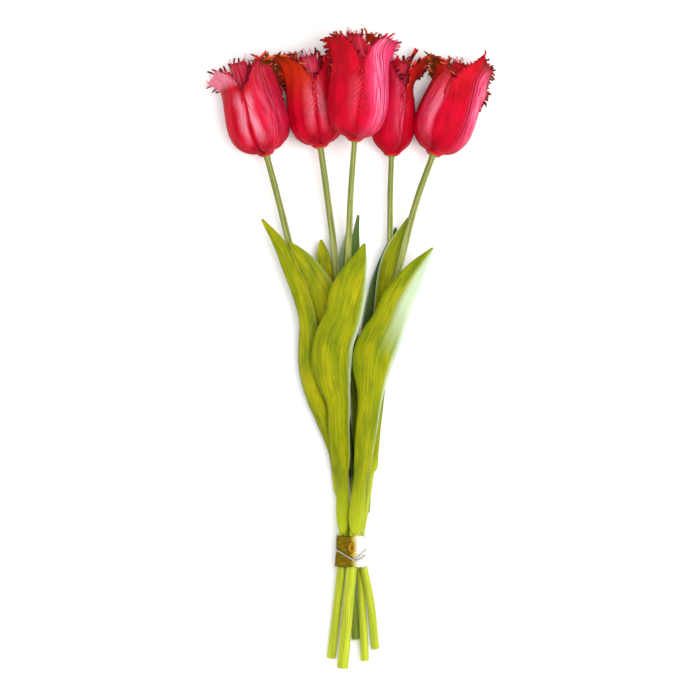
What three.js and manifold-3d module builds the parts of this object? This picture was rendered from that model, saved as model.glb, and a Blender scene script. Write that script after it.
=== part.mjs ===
// A bunch of five fringed tulips, cut and tied with raffia and a twist of wire, lying on a table.
//
// Millimetres, +Z up. The bunch lies along Y: the cut ends point to -Y and the flowers to +Y, the
// table is the plane z = 0, and the origin is the middle of the bunch's footprint on it. The raffia
// band's flat underside and the bellies of four flowers lie on the table. The middle flower lies on
// top of its neighbours.
//
// Petals and leaves are thin closed blades: a mid surface from a formula, with a face on either
// side of it. Petals end in a fringe of pointed teeth along the upper margin.

import * as THREE from "three";
import { mergeVertices } from "three/addons/utils/BufferGeometryUtils.js";
import Module from "manifold-3d";

const wasm = await Module();
wasm.setup();

const DEG = Math.PI / 180;
const TABLE_DOWN = new THREE.Vector3(0, 0, -1);

// ---- driving dimensions ----------------------------------------------------------------------

const CLEARANCE = 0.35; // between two pieces that touch
const MERGE_DISTANCE = 1e-4; // within which two vertices are one

const STEM_SIDES = 8;
const RECEPTACLE_RADIUS = 4.4; // the stem's flared top, inside the feet of the outer petals
const FLARE_LENGTH = 5;
const FLARE_RINGS = [1, 0.5, 0.2, 0]; // of the flare's length, before the stem's end

const PETAL_THICKNESS = 0.9;
const PETAL_ROOT_THICKNESS = 0.65;
const ROOT_SHARE = 0.12; // of the petal's length, where it grows to its full thickness
const PETAL_COLUMNS = 4;
const SMOOTH_ROWS = 5; // rows of a petal below its fringe
const FRINGE_ROWS = 9; // rows of a petal along its fringe, one tooth on each margin of each row
const FRINGE_START = 0.58; // share of the petal where the fringe begins
const TOOTH_LENGTH = [0.6, 6.4]; // at the start of the fringe and near the tip
const TOOTH_LEAN = [42, 60]; // degrees from straight out of the margin, towards the tip
const TIP_LEAN = 18; // degrees between two teeth at the tip
const SEED_STEP = 977; // between the draws of two flowers
const TOOTH_SPREAD = [0.75, 1.25]; // shortest and longest tooth, as shares of that length
const OPEN_START = 0.6; // share of the petal where its cross-section begins to open or fold
const WIDE_FROM = 0.25; // share of the petal where a bloom has its full width
const RUFFLE = 1.4; // how far the fringed margins wave
const RUFFLE_TURNS = 4.5; // waves along a margin, which are not alike on the left and the right
const RUFFLE_START = { left: 2.7, right: 1.1 };
const MIDRIB_DEPTH = 0.5;
const MIDRIB_WIDTH = 2.45;
const MIDRIB_FADE = 0.2; // share of the petal, from its root, where the midrib fades in

const PISTIL_SIDES = 9;
const PISTIL_PROFILE = [ // radius, height, depth of its three lobes
  [1.7, CLEARANCE, 0], [2.1, 5, 0.05], [2.0, 12, 0.08], [1.3, 15.5, 0.1], [2.8, 17.2, 0.35],
  [1.7, 18.6, 0.4],
];
const STAMEN_COUNT = 6;
const STAMEN_SIDES = 3;
const STAMEN_PROFILE = [ // distance from the axis, height, radius
  [2.65, 0.8, 0.5], [4.3, 8.5, 0.4], [4.7, 9.5, 1.0], [5.4, 14.5, 1.1], [5.7, 17.5, 0.3],
];
const STAMEN_RING = { inner: 2.35, outer: 2.95, height: 1.3, sides: 12 }; // round the pistil

const LEAF_THICKNESS = 0.9;
const LEAF_COLUMNS = 4;
const LEAF_ROWS = 16;
const CLASP_BEND = 80; // degrees of the stem that each half of a clasping leaf takes up

const BAND_Y = -151; // middle of the raffia band along the bunch
const BAND_WIDTH = 23;
const BAND_THICKNESS = 1.1;
const BAND_SIDES = 22;
const BAND_GAP = 0.7; // between the stems and the band
const TAUT_STEPS = 90; // directions that the taut outline round the stems is worked out in
const LEAST_FACING = 0.1; // cosine, beyond which such a direction doesn't bound a ray
const SEARCH_END = 1e-6; // share of a stem, where the search for one place on it stops
const RIDGES = 3; // steps across the raffia on each side of the wire, every other one a ridge
const RIDGE_HEIGHT = 0.45;
const PRESSED_BELOW = 2; // the band's lowest points are pressed flat on the table
const GROOVE_Y = -150; // where the wire pulls the band in, at its sides
const GROOVE_SLANT = 7;
const GROOVE_THICKNESS = 0.7; // of the raffia that is left there
const GROOVE_FLOOR = 0.9; // half the width of its floor, and half its width at the top
const GROOVE_TOP = 1.6;
const WIRE_RADIUS = 0.5;
const WIRE_SIDES = 5;
const TWIST_PATH = [
  [1.2, -156.6, 25.2], [3.8, -157.4, 26.9], [7.2, -156.2, 26.4], [11, -153.6, 23.8],
];
const TWIST_TURNS = 2;
const TWIST_WIDTH = 1.8; // of the twisted pair, where a single wire is 1
const TWIST_SIDES = 6; // of the pair's cross-section, and its steps in one turn
const KNOT_PATH = [[-0.6, -144.2, 27.2], [0.8, -148, 27.5], [1.5, -151.6, 27.0]];
const KNOT_RADII = [0.6, 2.0, 2.6, 1.9, 2.4, 1.7, 0.6];
const KNOT_SIDES = 7;
const KNOT_FLATNESS = 0.5; // its height, as a share of its width

// Each stem from its cut end to its flower: [x, y, z]. They cross in the band, so that flowers
// on the left have their cut ends on the right. radii are at the cut end and below the flower.
const STEMS = [
  {
    radii: [3.1, 2.3],
    path: [
      [4.2, -218, 4.0], [-1.2, -151, 7.3], [-6.6, -113, 7.8], [-13.9, -68, 8.6],
      [-30.6, 8, 11.2], [-46.8, 83, 14.4], [-55.2, 117, 18], [-63.2, 147, 21.2],
    ],
  },
  {
    radii: [3.0, 2.3],
    path: [
      [18.8, -225, 5.6], [14.8, -188, 9.9], [7.4, -151, 12.9], [3.4, -113, 12.6],
      [-1.9, -60, 11.2], [-6.9, 0, 11.2], [-11.6, 68, 13.6], [-17.6, 117, 16.9],
      [-22.6, 153, 19.8],
    ],
  },
  {
    radii: [3.4, 2.0],
    path: [
      [-14.5, -232, 6.5], [-5.9, -151, 13.9], [-6.0, -113, 15.4], [-5.3, -38, 19.5],
      [-3.0, 38, 28], [-1.2, 83, 36], [0.4, 121, 42.5], [3.2, 156.5, 48.5],
    ],
  },
  {
    radii: [3.1, 2.0],
    path: [
      [10.9, -234, 10.4], [8.5, -188, 6.9], [6.2, -151, 6.0], [12.2, -113, 6.2],
      [20, -53, 6.9], [25.7, 15, 9.6], [29.4, 68, 12.8], [29.9, 120, 15.2], [30.8, 147, 16.6],
    ],
  },
  {
    radii: [4.2, 2.2],
    path: [
      [-6.0, -239, 13.5], [1.9, -151, 19.4], [5.3, -113, 22.4], [11.4, -68, 24.6],
      [24.4, 8, 27.5], [34.2, 53, 28.3], [49.6, 112, 25.8], [62.1, 147, 23.8],
    ],
  },
];

// Mid line of an outer and an inner petal, from the receptacle to the flower's neck:
// [distance from the flower's axis, height, half the width], for a flower of BELLY by HEIGHT.
// The first ROOT_POINTS points are alike in every flower, because they fit the receptacle.
const BELLY = 24;
const HEIGHT = 72;
const ROOT_POINTS = 2;
const OUTER_PETAL = [
  [5.2, -1.2, 4.2], [6.4, 1.3, 5.6], [12.6, 3.4, 11.8], [19.6, 9.1, 18.6],
  [23.4, 17.6, 22.8], [24, 28, 23.6], [22.6, 41, 22.3], [20.6, 51, 20.0],
];
const INNER_PETAL = [
  [3.7, 0.8, 2.6], [5.1, 3.8, 4.4], [11, 6.4, 10.0], [17.2, 11.6, 15.6],
  [20.8, 19.2, 19.6], [21.5, 28, 20.2], [19.6, 40.5, 17.2], [17.2, 50, 13.6],
];

// shoulder and tip are half the petal's width half-way from the neck to the tip, and at the tip.
// With a positive opening the cross-section flattens out towards the tip, with a negative one it
// folds in. offset is the direction of the whorl's first petal, from that of the flower, in degrees.
const WHORLS = {
  outer: { profile: OUTER_PETAL, shoulder: 14, tip: 8, opening: 0.9, offset: 0 },
  inner: { profile: INNER_PETAL, shoulder: 10.5, tip: 6, opening: -0.8, offset: 60 },
};

// One entry for each flower, on the stem of the same number. wide is how much wider a bloom is
// than it is thick, where its neighbours press on it. turn is the direction that the first outer
// petal faces, in degrees from straight up towards +X. The three outer petals are 120 degrees
// apart, and the inner ones stand between them. Each petal has its shoulder and its tip, as
// distance from the flower's axis and height, and how far the tip turns about the axis in degrees:
// [shoulder, height, tip, height, turn]. Two more numbers give half the width of the tip, where it
// isn't that of its whorl, and how much lower the tip's right corner is than its middle.
const FLOWERS = [
  {
    belly: 23.1, height: 70, wide: 1, turn: 45,
    outer: [[17.5, 61, 20, 70, 6, 9.5, 1], [19, 61, 20, 67, 0], [19, 58.5, 27.5, 66.5, 16, 7, -4]],
    inner: [[16, 60, 18, 67, 0], [18, 60, 20, 66, 0], [13.5, 62, 14, 72, 0]],
  },
  {
    belly: 20.6, height: 70, wide: 1, turn: 63,
    outer: [[18, 60, 20, 67, 0], [18, 61, 19, 66, 0], [19, 62, 30, 71, 14]],
    inner: [[15, 61, 17, 67, 0], [16, 61, 18, 67, 0], [12.5, 61, 13, 68, -4]],
  },
  {
    belly: 22.0, height: 81, wide: 1, turn: 64,
    outer: [[19, 69, 27, 78, -13, 8, 3], [19, 69, 20, 77, 0], [22, 70, 31, 77, 14, 8, -2]],
    inner: [[17, 69, 17, 76, 22], [18, 70, 22, 76, 0], [14, 70, 15, 80, -35]],
  },
  {
    belly: 15.6, height: 71, wide: 1.07, turn: 90,
    outer: [[17.4, 61, 20, 69, -38, 10.5, -5], [14.5, 61, 14, 67, 0], [13.6, 61, 13, 71, -6]],
    inner: [[13, 60, 17, 70, 0, 9], [12, 61, 12, 67, 0], [12, 60, 15, 66, 12, 9]],
  },
  {
    belly: 21.9, height: 74, wide: 1, turn: 42,
    outer: [[18, 64, 23, 76, 0, 6, 4], [17, 62, 15, 69, 0], [17.5, 61, 25, 66.5, 22]],
    inner: [[16, 62, 18, 70, 0], [15, 62, 15, 69, 0], [15, 62, 15, 69, 0]],
  },
];

// Each leaf clasps its stem between two places on it, given as shares of the stem's path, and
// then leaves it along path: [x, y, z, half the width, turn, bend]. turn is the direction that the
// leaf's inner face looks in, in degrees from straight down towards -X, and bend is the angle that
// half of its rounded cross-section takes up, in degrees.
const LEAVES = [
  {
    name: "leaf_1_lower", stem: 1, clasp: [0.29, 0.39], turn: -10,
    path: [
      [-19.8, -55, 14.6, 7.8, -15, 62], [-28.2, -31, 18.8, 10, -22, 50],
      [-31.8, -10, 20.8, 11, -25, 45], [-32, 6, 21.8, 10.2, -22, 48],
      [-33, 22, 22.8, 7.4, -15, 52], [-38, 43, 23.8, 7.2, -8, 50],
      [-45.6, 63, 24.2, 6.6, 0, 45], [-53, 79, 23.8, 5.0, 0, 40], [-66.4, 98, 22.6, 0.9, 0, 20],
    ],
  },
  {
    name: "leaf_1_upper", stem: 1, clasp: [0.46, 0.51], turn: 85,
    path: [
      [-20, -10, 14.8, 5.8, 30, 34], [-19, 8, 16.2, 8.8, 8, 26], [-18.8, 25, 17.8, 11, -5, 20],
      [-22.6, 43, 19, 11.4, -6, 15], [-30.6, 60, 19.8, 8.6, 0, 15], [-38, 71, 20.6, 5.4, 0, 15],
      [-46, 81, 20.8, 0.9, 0, 12],
    ],
  },
  {
    name: "leaf_2_left", stem: 2, clasp: [0.46, 0.5], turn: -100,
    path: [
      [-10.6, -8, 6.6, 5, -145, 38], [-14.4, 18, 7.0, 6.8, -170, 25],
      [-17.8, 42, 8.6, 7.6, -180, 18], [-19.6, 60, 9.6, 6.6, -180, 16],
      [-21, 73, 10.4, 4.6, -180, 14], [-22.2, 83, 11, 0.9, -180, 12],
    ],
  },
  {
    name: "leaf_2_right", stem: 2, clasp: [0.37, 0.42], turn: 110,
    path: [
      [4.2, -36, 7.4, 5.6, 120, 42], [1.6, -10, 5.2, 6.6, 150, 30], [-1.6, 15, 4.2, 7.4, 175, 22],
      [-4.2, 40, 5.2, 7.2, 180, 18], [-4.8, 62, 7, 5.6, 180, 16], [-4, 76, 8.4, 3.6, 180, 14],
      [-2.6, 88, 9.6, 0.9, 180, 12],
    ],
  },
  {
    name: "leaf_3_front", stem: 3, clasp: [0.19, 0.31], turn: 0,
    path: [
      [-7.4, -82, 21.4, 8.8, 0, 66], [-8.8, -58, 25, 9.4, 0, 58], [-9, -40, 28, 10, 0, 48],
      [-11.6, -27, 30.4, 13, 0, 42], [-14, -12, 33, 16.2, 0, 38], [-12.6, 6, 36.4, 16, 0, 34],
      [-6, 23, 39.6, 14.6, 0, 32], [-2.2, 41, 42.6, 14.4, 0, 30], [2.4, 56, 45.2, 10.6, 0, 28],
      [6.6, 67, 47, 6.2, 0, 24], [10.4, 79, 48.6, 0.9, 0, 16],
    ],
  },
  {
    name: "leaf_3_back", stem: 3, clasp: [0.46, 0.5], turn: 165,
    path: [
      [-1.6, 24, 21, 6.4, 175, 32], [0.4, 44, 22, 6.4, 180, 22], [2.0, 62, 23, 5.2, 180, 20],
      [3.2, 78, 24.4, 3.6, 180, 16], [4.4, 90, 26, 2.1, 180, 14], [5.8, 101, 27.2, 0.9, 180, 12],
    ],
  },
  {
    name: "leaf_4_front", stem: 4, clasp: [0.42, 0.46], turn: 0,
    path: [
      [21.4, -12, 12.8, 7, -5, 50], [23.4, 18, 15.6, 7.8, -10, 35], [25.6, 42, 18, 7.8, -10, 28],
      [28, 58, 19.2, 7.8, -8, 24], [31.6, 72, 20, 7, -5, 22], [37.4, 86, 20.6, 4, 0, 18],
      [43.4, 99, 21.4, 0.9, 0, 12],
    ],
  },
  {
    name: "leaf_4_back", stem: 4, clasp: [0.34, 0.37], turn: -150,
    path: [
      [13, -54, 3.2, 4.2, -158, 46], [13, -30, 4, 6, -170, 32], [14.4, 0, 4.4, 7.6, -180, 22],
      [18, 26, 6, 7.8, -180, 18], [22.8, 50, 7.2, 7.4, -180, 16], [27.2, 66, 8.6, 6, -180, 15],
      [31, 79, 9.6, 4, -180, 14], [34.2, 92, 10.6, 0.9, -180, 12],
    ],
  },
  {
    name: "leaf_5_front", stem: 5, clasp: [0.19, 0.31], turn: 0,
    path: [
      [9.4, -82, 29.2, 8.4, 0, 64], [11.8, -60, 30.8, 9.4, 0, 56], [14.2, -41, 32.8, 9.8, 0, 48],
      [15.2, -27, 34.8, 12, 0, 42], [15.8, -14, 37, 15.4, 0, 38], [17.8, -3, 39, 16.6, 0, 36],
      [22.8, 9, 41.4, 15.8, 0, 34], [28.6, 21, 43.2, 13.4, 0, 32], [34, 35, 44.8, 12.4, 0, 30],
      [42, 49, 45.6, 10, 0, 26], [48.2, 59, 45.6, 7.4, 0, 22], [61.4, 76, 44, 0.9, 0, 14],
    ],
  },
];

// ---- small helpers -----------------------------------------------------------------------------

const point = ([x, y, z]) => new THREE.Vector3(x, y, z);
const route = (points) => new THREE.CatmullRomCurve3(points.map(point), false, "centripetal");
const mix = THREE.MathUtils.lerp;
const { smoothstep } = THREE.MathUtils;

// A repeatable draw of numbers from 0 to 1.
function seeded(seed) {
  let state = seed;
  return () => {
    state = (state * 1664525 + 1013904223) % 4294967296;
    return state / 4294967296;
  };
}

// The downward direction that is square to along, and that direction turned about along.
function downFrom(along, turn = 0) {
  const down = TABLE_DOWN.clone().addScaledVector(along, -along.dot(TABLE_DOWN)).normalize();
  const side = new THREE.Vector3().crossVectors(along, down);
  return down.multiplyScalar(Math.cos(turn * DEG)).addScaledVector(side, Math.sin(turn * DEG));
}

function geometryOf(vertices, triangles) {
  const geometry = new THREE.BufferGeometry();
  const flat = vertices.flatMap((p) => [p.x, p.y, p.z]);
  geometry.setAttribute("position", new THREE.Float32BufferAttribute(flat, 3));
  geometry.setIndex(triangles.flat());
  return geometry;
}

// A closed body through rings of equal length, each anticlockwise as seen from the last ring's side.
function loft(rings) {
  const sides = rings[0].length;
  const triangles = [];
  for (let i = 0; i + 1 < rings.length; i += 1) {
    for (let k = 0; k < sides; k += 1) {
      const a = i * sides + k;
      const b = i * sides + ((k + 1) % sides);
      triangles.push([a, b, b + sides], [a, b + sides, a + sides]);
    }
  }
  const last = (rings.length - 1) * sides;
  for (let k = 1; k + 1 < sides; k += 1) {
    triangles.push([0, k + 1, k], [last, last + k, last + k + 1]);
  }
  return geometryOf(rings.flat(), triangles);
}

// A closed body through rings that meet again: the last ring joins the first.
function loop(rings) {
  const sides = rings[0].length;
  const triangles = [];
  rings.forEach((_, i) => {
    const next = (i + 1) % rings.length;
    for (let k = 0; k < sides; k += 1) {
      const l = (k + 1) % sides;
      const [a, b, c, d] = [i * sides + k, i * sides + l, next * sides + l, next * sides + k];
      triangles.push([a, b, c], [a, c, d]);
    }
  });
  return geometryOf(rings.flat(), triangles);
}

// An oval of points around centre, square to the direction along: half wide towards side, where its
// first point is, and half thick across it.
function ovalRing(centre, along, side, wide, thick, sides) {
  const up = new THREE.Vector3().crossVectors(along, side).normalize();
  return Array.from({ length: sides }, (_, k) => {
    const angle = (2 * Math.PI * k) / sides;
    return centre.clone()
      .addScaledVector(side, wide * Math.cos(angle))
      .addScaledVector(up, thick * Math.sin(angle));
  });
}

const ring = (centre, along, side, radius, sides) =>
  ovalRing(centre, along, side, radius, radius, sides);

function solidOf(geometry) {
  const bare = geometry.clone();
  bare.deleteAttribute("normal");
  bare.deleteAttribute("uv");
  const merged = mergeVertices(bare, MERGE_DISTANCE);
  return new wasm.Manifold(
    new wasm.Mesh({
      numProp: 3,
      vertProperties: merged.attributes.position.array,
      triVerts: new Uint32Array(merged.index.array),
    }),
  );
}

function fused(geometries) {
  const joined = geometries.map(solidOf).reduce((all, next) => all.add(next));
  const mesh = joined.getMesh();
  const geometry = new THREE.BufferGeometry();
  geometry.setAttribute("position", new THREE.BufferAttribute(mesh.vertProperties, 3));
  geometry.setIndex(new THREE.BufferAttribute(mesh.triVerts, 1));
  return geometry;
}

// ---- blades ------------------------------------------------------------------------------------

const NO_TOOTH = [0, 0];
const SLOPE_STEP = 1e-3; // in u or v, over which a surface's slope is taken

// A thin closed blade. surface(u, v) gives its mid surface, with u from root to tip and v from -1
// to 1 across. stations are the values of u for its rows. tooth(row, side) gives the length and
// the lean of the pointed tooth on that side of the row, and tipTooth(column) those at the tip.
function blade(surface, stations, columns, thickness, tooth, tipTooth) {
  const rows = stations.length;
  const wide = columns + 1;
  const count = rows * wide;
  const faces = [[], []];
  const frames = [];
  for (const u of stations) {
    for (let j = 0; j < wide; j += 1) {
      const v = (2 * j) / columns - 1;
      const middle = surface(u, v);
      const low = Math.min(Math.max(u, SLOPE_STEP), 1 - SLOPE_STEP);
      const along = surface(low + SLOPE_STEP, v).sub(surface(low - SLOPE_STEP, v)).normalize();
      const across = surface(u, v + SLOPE_STEP).sub(surface(u, v - SLOPE_STEP)).normalize();
      const normal = new THREE.Vector3().crossVectors(along, across).normalize();
      const half = thickness(u) / 2;
      faces[0].push(middle.clone().addScaledVector(normal, half));
      faces[1].push(middle.clone().addScaledVector(normal, -half));
      frames.push({ middle, along, across });
    }
  }
  const vertices = faces.flat();
  const triangles = [];
  for (let i = 0; i + 1 < rows; i += 1) {
    for (let j = 0; j < columns; j += 1) {
      const a = i * wide + j;
      const [b, c, d] = [a + 1, a + wide + 1, a + wide];
      // The diagonals mirror about the midrib, alike on both faces.
      const halves = j < columns / 2 ? [[a, d, c], [a, c, b]] : [[a, d, b], [b, d, c]];
      for (const [p, q, r] of halves) {
        triangles.push([p, q, r], [p + count, r + count, q + count]);
      }
    }
  }
  // One stretch of the margin, walked so that the blade is on the right: a plain strip between the
  // two faces, or a tooth whose point stands out along side and leans towards the petal's tip.
  const margin = (from, to, side, [length, lean]) => {
    const [behind, ahead] = [from + count, to + count];
    if (length === 0) {
      triangles.push([from, behind, ahead], [from, ahead, to]);
      return;
    }
    const [f, g] = [frames[from], frames[to]];
    const out = f.across.clone().add(g.across).normalize().multiplyScalar(side);
    const on = f.along.clone().add(g.along).normalize();
    const tip = f.middle.clone().add(g.middle).multiplyScalar(0.5)
      .addScaledVector(out, length * Math.cos(lean * DEG))
      .addScaledVector(on, length * Math.sin(lean * DEG));
    const t = vertices.push(tip) - 1;
    triangles.push([from, behind, t], [behind, ahead, t], [ahead, to, t], [to, from, t]);
  };
  for (let i = 0; i + 1 < rows; i += 1) {
    margin(i * wide, (i + 1) * wide, -1, tooth(i, -1));
    margin((i + 1) * wide + columns, i * wide + columns, 1, tooth(i, 1));
  }
  const top = (rows - 1) * wide;
  for (let j = 0; j < columns; j += 1) {
    margin(top + j, top + j + 1, 1, tipTooth(j));
    margin(j + 1, j, 1, NO_TOOTH);
  }
  return geometryOf(vertices, triangles);
}

// ---- flowers -----------------------------------------------------------------------------------

// The mid surface of one petal, in the flower's own frame: +Z along its axis, and -Y facing up
// from the table. facing is the petal's direction about the axis, in degrees.
function petalSurface(flower, whorl, facing, ends) {
  const [shoulder, rise, tip, top, turn, half = whorl.tip, slant = 0] = ends;
  const [spread, tall] = [flower.belly / BELLY, flower.height / HEIGHT];
  const { opening } = whorl;
  const fitted = whorl.profile.map(([r, z, w], i) =>
    i < ROOT_POINTS ? [r, z, w] : [r * spread, z * tall, w * spread],
  );
  fitted.push([shoulder, rise, whorl.shoulder * spread], [tip, top, half]);
  const line = route(fitted);
  const outward = Math.sign(opening);
  return (u, v) => {
    const { x: r, y: z, z: w } = line.getPoint(u);
    const open = smoothstep(u, OPEN_START, 1);
    const curvature = (1 - opening * open) / r;
    const angle = v * w * curvature;
    const start = v > 0 ? RUFFLE_START.right : RUFFLE_START.left;
    const wave = (1 + Math.sin(2 * Math.PI * RUFFLE_TURNS * u + start + facing)) / 2;
    const crease = MIDRIB_DEPTH * Math.exp(-((v * w / MIDRIB_WIDTH) ** 2))
      * Math.min(1, u / MIDRIB_FADE);
    const away = r - (1 - Math.cos(angle)) / curvature
      + outward * RUFFLE * open * v * v * wave - crease;
    const side = Math.sin(angle) / curvature;
    const direction = (facing + turn * open ** 2) * DEG;
    const widened = mix(1, flower.wide, smoothstep(u, 0, WIDE_FROM));
    return new THREE.Vector3(
      widened * (away * Math.sin(direction) + side * Math.cos(direction)),
      -away * Math.cos(direction) + side * Math.sin(direction),
      z - slant * open * v,
    );
  };
}

function petal(surface, draw) {
  const stations = [];
  for (let i = 0; i < SMOOTH_ROWS; i += 1) stations.push((FRINGE_START * i) / SMOOTH_ROWS);
  for (let i = 0; i <= FRINGE_ROWS; i += 1) stations.push(mix(FRINGE_START, 1, i / FRINGE_ROWS));
  const length = (share) => mix(...TOOTH_LENGTH, share) * mix(...TOOTH_SPREAD, draw());
  const tooth = (row) => {
    if (row < SMOOTH_ROWS) return NO_TOOTH;
    return [length((row - SMOOTH_ROWS) / FRINGE_ROWS), mix(...TOOTH_LEAN, draw())];
  };
  const tipTooth = (column) => [length(1), 90 - TIP_LEAN * (column - (PETAL_COLUMNS - 1) / 2)];
  const thickness = (u) => mix(PETAL_ROOT_THICKNESS, PETAL_THICKNESS, Math.min(1, u / ROOT_SHARE));
  return blade(surface, stations, PETAL_COLUMNS, thickness, tooth, tipTooth);
}

// The green pistil: a rounded column with a three-lobed stigma.
function pistil() {
  return loft(PISTIL_PROFILE.map(([radius, height, lobe]) =>
    Array.from({ length: PISTIL_SIDES }, (_, k) => {
      const angle = (2 * Math.PI * k) / PISTIL_SIDES;
      const r = radius * (1 + lobe * Math.cos(3 * angle));
      return new THREE.Vector3(r * Math.cos(angle), r * Math.sin(angle), height);
    }),
  ));
}

// Six stamens, each a thin filament under a long anther, on one ring round the pistil's foot.
function stamens() {
  const { inner, outer, height: top, sides } = STAMEN_RING;
  const section = [[inner, CLEARANCE], [outer, CLEARANCE], [outer, top], [inner, top]];
  section.push(section[0]);
  const points = section.map(([r, z]) => new THREE.Vector2(r, z));
  const foot = new THREE.LatheGeometry(points, sides).rotateX(Math.PI / 2);
  const bodies = [foot];
  for (let k = 0; k < STAMEN_COUNT; k += 1) {
    const angle = (2 * Math.PI * (k + 0.5)) / STAMEN_COUNT;
    const out = new THREE.Vector3(Math.cos(angle), Math.sin(angle), 0);
    const up = new THREE.Vector3(0, 0, 1);
    bodies.push(loft(STAMEN_PROFILE.map(([away, height, radius]) =>
      ring(out.clone().multiplyScalar(away).setZ(height), up, out, radius, STAMEN_SIDES),
    )));
  }
  return fused(bodies);
}

// ---- stems and leaves --------------------------------------------------------------------------

const stemRadius = ({ radii }, u) => mix(radii[0], radii[1], u);

// Rings along a line, with radius(u), whose first points all look down.
function tube(line, shares, radius, sides) {
  return loft(shares.map((u) => {
    const along = line.getTangent(u);
    return ring(line.getPoint(u), along, downFrom(along), radius(u), sides);
  }));
}

function stem(spec) {
  const line = route(spec.path);
  const spans = spec.path.length - 1;
  const lastSpan = point(spec.path.at(-1)).distanceTo(point(spec.path.at(-2)));
  const flare = FLARE_LENGTH / lastSpan / spans;
  const shares = Array.from({ length: 2 * spans }, (_, i) => i / (2 * spans));
  shares.push(...FLARE_RINGS.map((share) => 1 - flare * share));
  const radius = (u) => {
    const over = Math.max(0, 1 - (1 - u) / flare);
    return mix(stemRadius(spec, u), RECEPTACLE_RADIUS, over ** 3);
  };
  return tube(line, shares, radius, STEM_SIDES);
}

function leafSurface(leaf) {
  const spec = STEMS[leaf.stem - 1];
  const stemLine = route(spec.path);
  const places = [];
  const shapes = [];
  for (const u of leaf.clasp) {
    const radius = stemRadius(spec, u) + LEAF_THICKNESS / 2 + 2 * CLEARANCE;
    const inward = downFrom(stemLine.getTangent(u), leaf.turn);
    places.push(stemLine.getPoint(u).addScaledVector(inward, -radius).toArray());
    shapes.push([radius * CLASP_BEND * DEG, leaf.turn, CLASP_BEND]);
  }
  for (const [x, y, z, half, turn, bend] of leaf.path) {
    places.push([x, y, z]);
    shapes.push([half, turn, bend]);
  }
  const line = route(places);
  const shape = route(shapes);
  return (u, v) => {
    const along = line.getTangent(u);
    const { x: half, y: turn, z: bend } = shape.getPoint(u);
    const inward = downFrom(along, turn);
    const side = new THREE.Vector3().crossVectors(along, inward);
    const radius = half / (bend * DEG);
    const angle = v * bend * DEG;
    return line.getPoint(u)
      .addScaledVector(side, radius * Math.sin(angle))
      .addScaledVector(inward, radius * (1 - Math.cos(angle)));
  };
}

function leaf(spec) {
  const stations = Array.from({ length: LEAF_ROWS + 1 }, (_, i) => i / LEAF_ROWS);
  const plain = () => NO_TOOTH;
  return blade(leafSurface(spec), stations, LEAF_COLUMNS, () => LEAF_THICKNESS, plain, plain);
}

// ---- the tie -----------------------------------------------------------------------------------

// The direction of each side of the band, round the bundle from +X over the top.
const sideAngle = (k) => (2 * Math.PI * (k + 0.5)) / BAND_SIDES;
const bandSides = Array.from({ length: BAND_SIDES }, (_, k) => k);

// The point where a ray from the middle of the bundle, in the direction of side k, meets a taut
// outline round all the stems at y, at a distance from them.
function outlinePoint(k, y, distance) {
  const sections = STEMS.map((spec) => stemSection(spec, y));
  const middle = (axis) => sections.reduce((sum, c) => sum + c[axis], 0) / sections.length;
  const [x, z] = [middle("x"), middle("z")];
  const reaches = Array.from({ length: TAUT_STEPS }, (_, i) => {
    const angle = (2 * Math.PI * i) / TAUT_STEPS;
    const [dx, dz] = [Math.cos(angle), Math.sin(angle)];
    const support = Math.max(...sections.map((c) => (c.x - x) * dx + (c.z - z) * dz + c.radius));
    const facing = Math.cos(angle - sideAngle(k));
    return facing > LEAST_FACING ? (support + distance) / facing : Infinity;
  });
  const reach = Math.min(...reaches);
  return new THREE.Vector3(
    x + reach * Math.cos(sideAngle(k)), y, z + reach * Math.sin(sideAngle(k)),
  );
}

// Where a stem crosses the plane at y, and its radius there.
function stemSection(spec, y) {
  const line = route(spec.path);
  let [low, high] = [0, 1];
  while (high - low > SEARCH_END) {
    const middle = (low + high) / 2;
    if (line.getPoint(middle).y < y) low = middle;
    else high = middle;
  }
  const { x, z } = line.getPoint(low);
  return { x, z, radius: stemRadius(spec, low) };
}

// The groove that the wire pulls into the raffia runs down to a corner on top, towards the cut ends.
function grooveY(k) {
  const onTop = Math.sin(sideAngle(k)) > 0;
  return onTop ? GROOVE_Y - GROOVE_SLANT * (1 - Math.abs(Math.cos(sideAngle(k)))) : GROOVE_Y;
}

// The raffia band: ridges on either side of the groove, pressed flat on the table underneath.
function band() {
  const rings = [];
  const addRing = (place, thickness, pressed) => {
    rings.push(bandSides.map((k) => {
      const p = outlinePoint(k, place(k), BAND_GAP + thickness);
      return pressed && p.z < PRESSED_BELOW ? p.setZ(0) : p;
    }));
  };
  const [start, end] = [BAND_Y - BAND_WIDTH / 2, BAND_Y + BAND_WIDTH / 2];
  const ridge = (i) => BAND_THICKNESS + (i % 2) * RIDGE_HEIGHT;
  for (let i = 0; i <= RIDGES; i += 1) {
    addRing((k) => mix(end, grooveY(k) + GROOVE_TOP, i / RIDGES), ridge(i), true);
  }
  addRing((k) => grooveY(k) + GROOVE_FLOOR, GROOVE_THICKNESS, false);
  addRing((k) => grooveY(k) - GROOVE_FLOOR, GROOVE_THICKNESS, false);
  for (let i = RIDGES; i >= 0; i -= 1) {
    addRing((k) => mix(start, grooveY(k) - GROOVE_TOP, i / RIDGES), ridge(i), true);
  }
  for (const share of [0, 0.5, 1]) addRing(() => mix(start, end, share), 0, false);
  return loop(rings);
}

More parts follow.
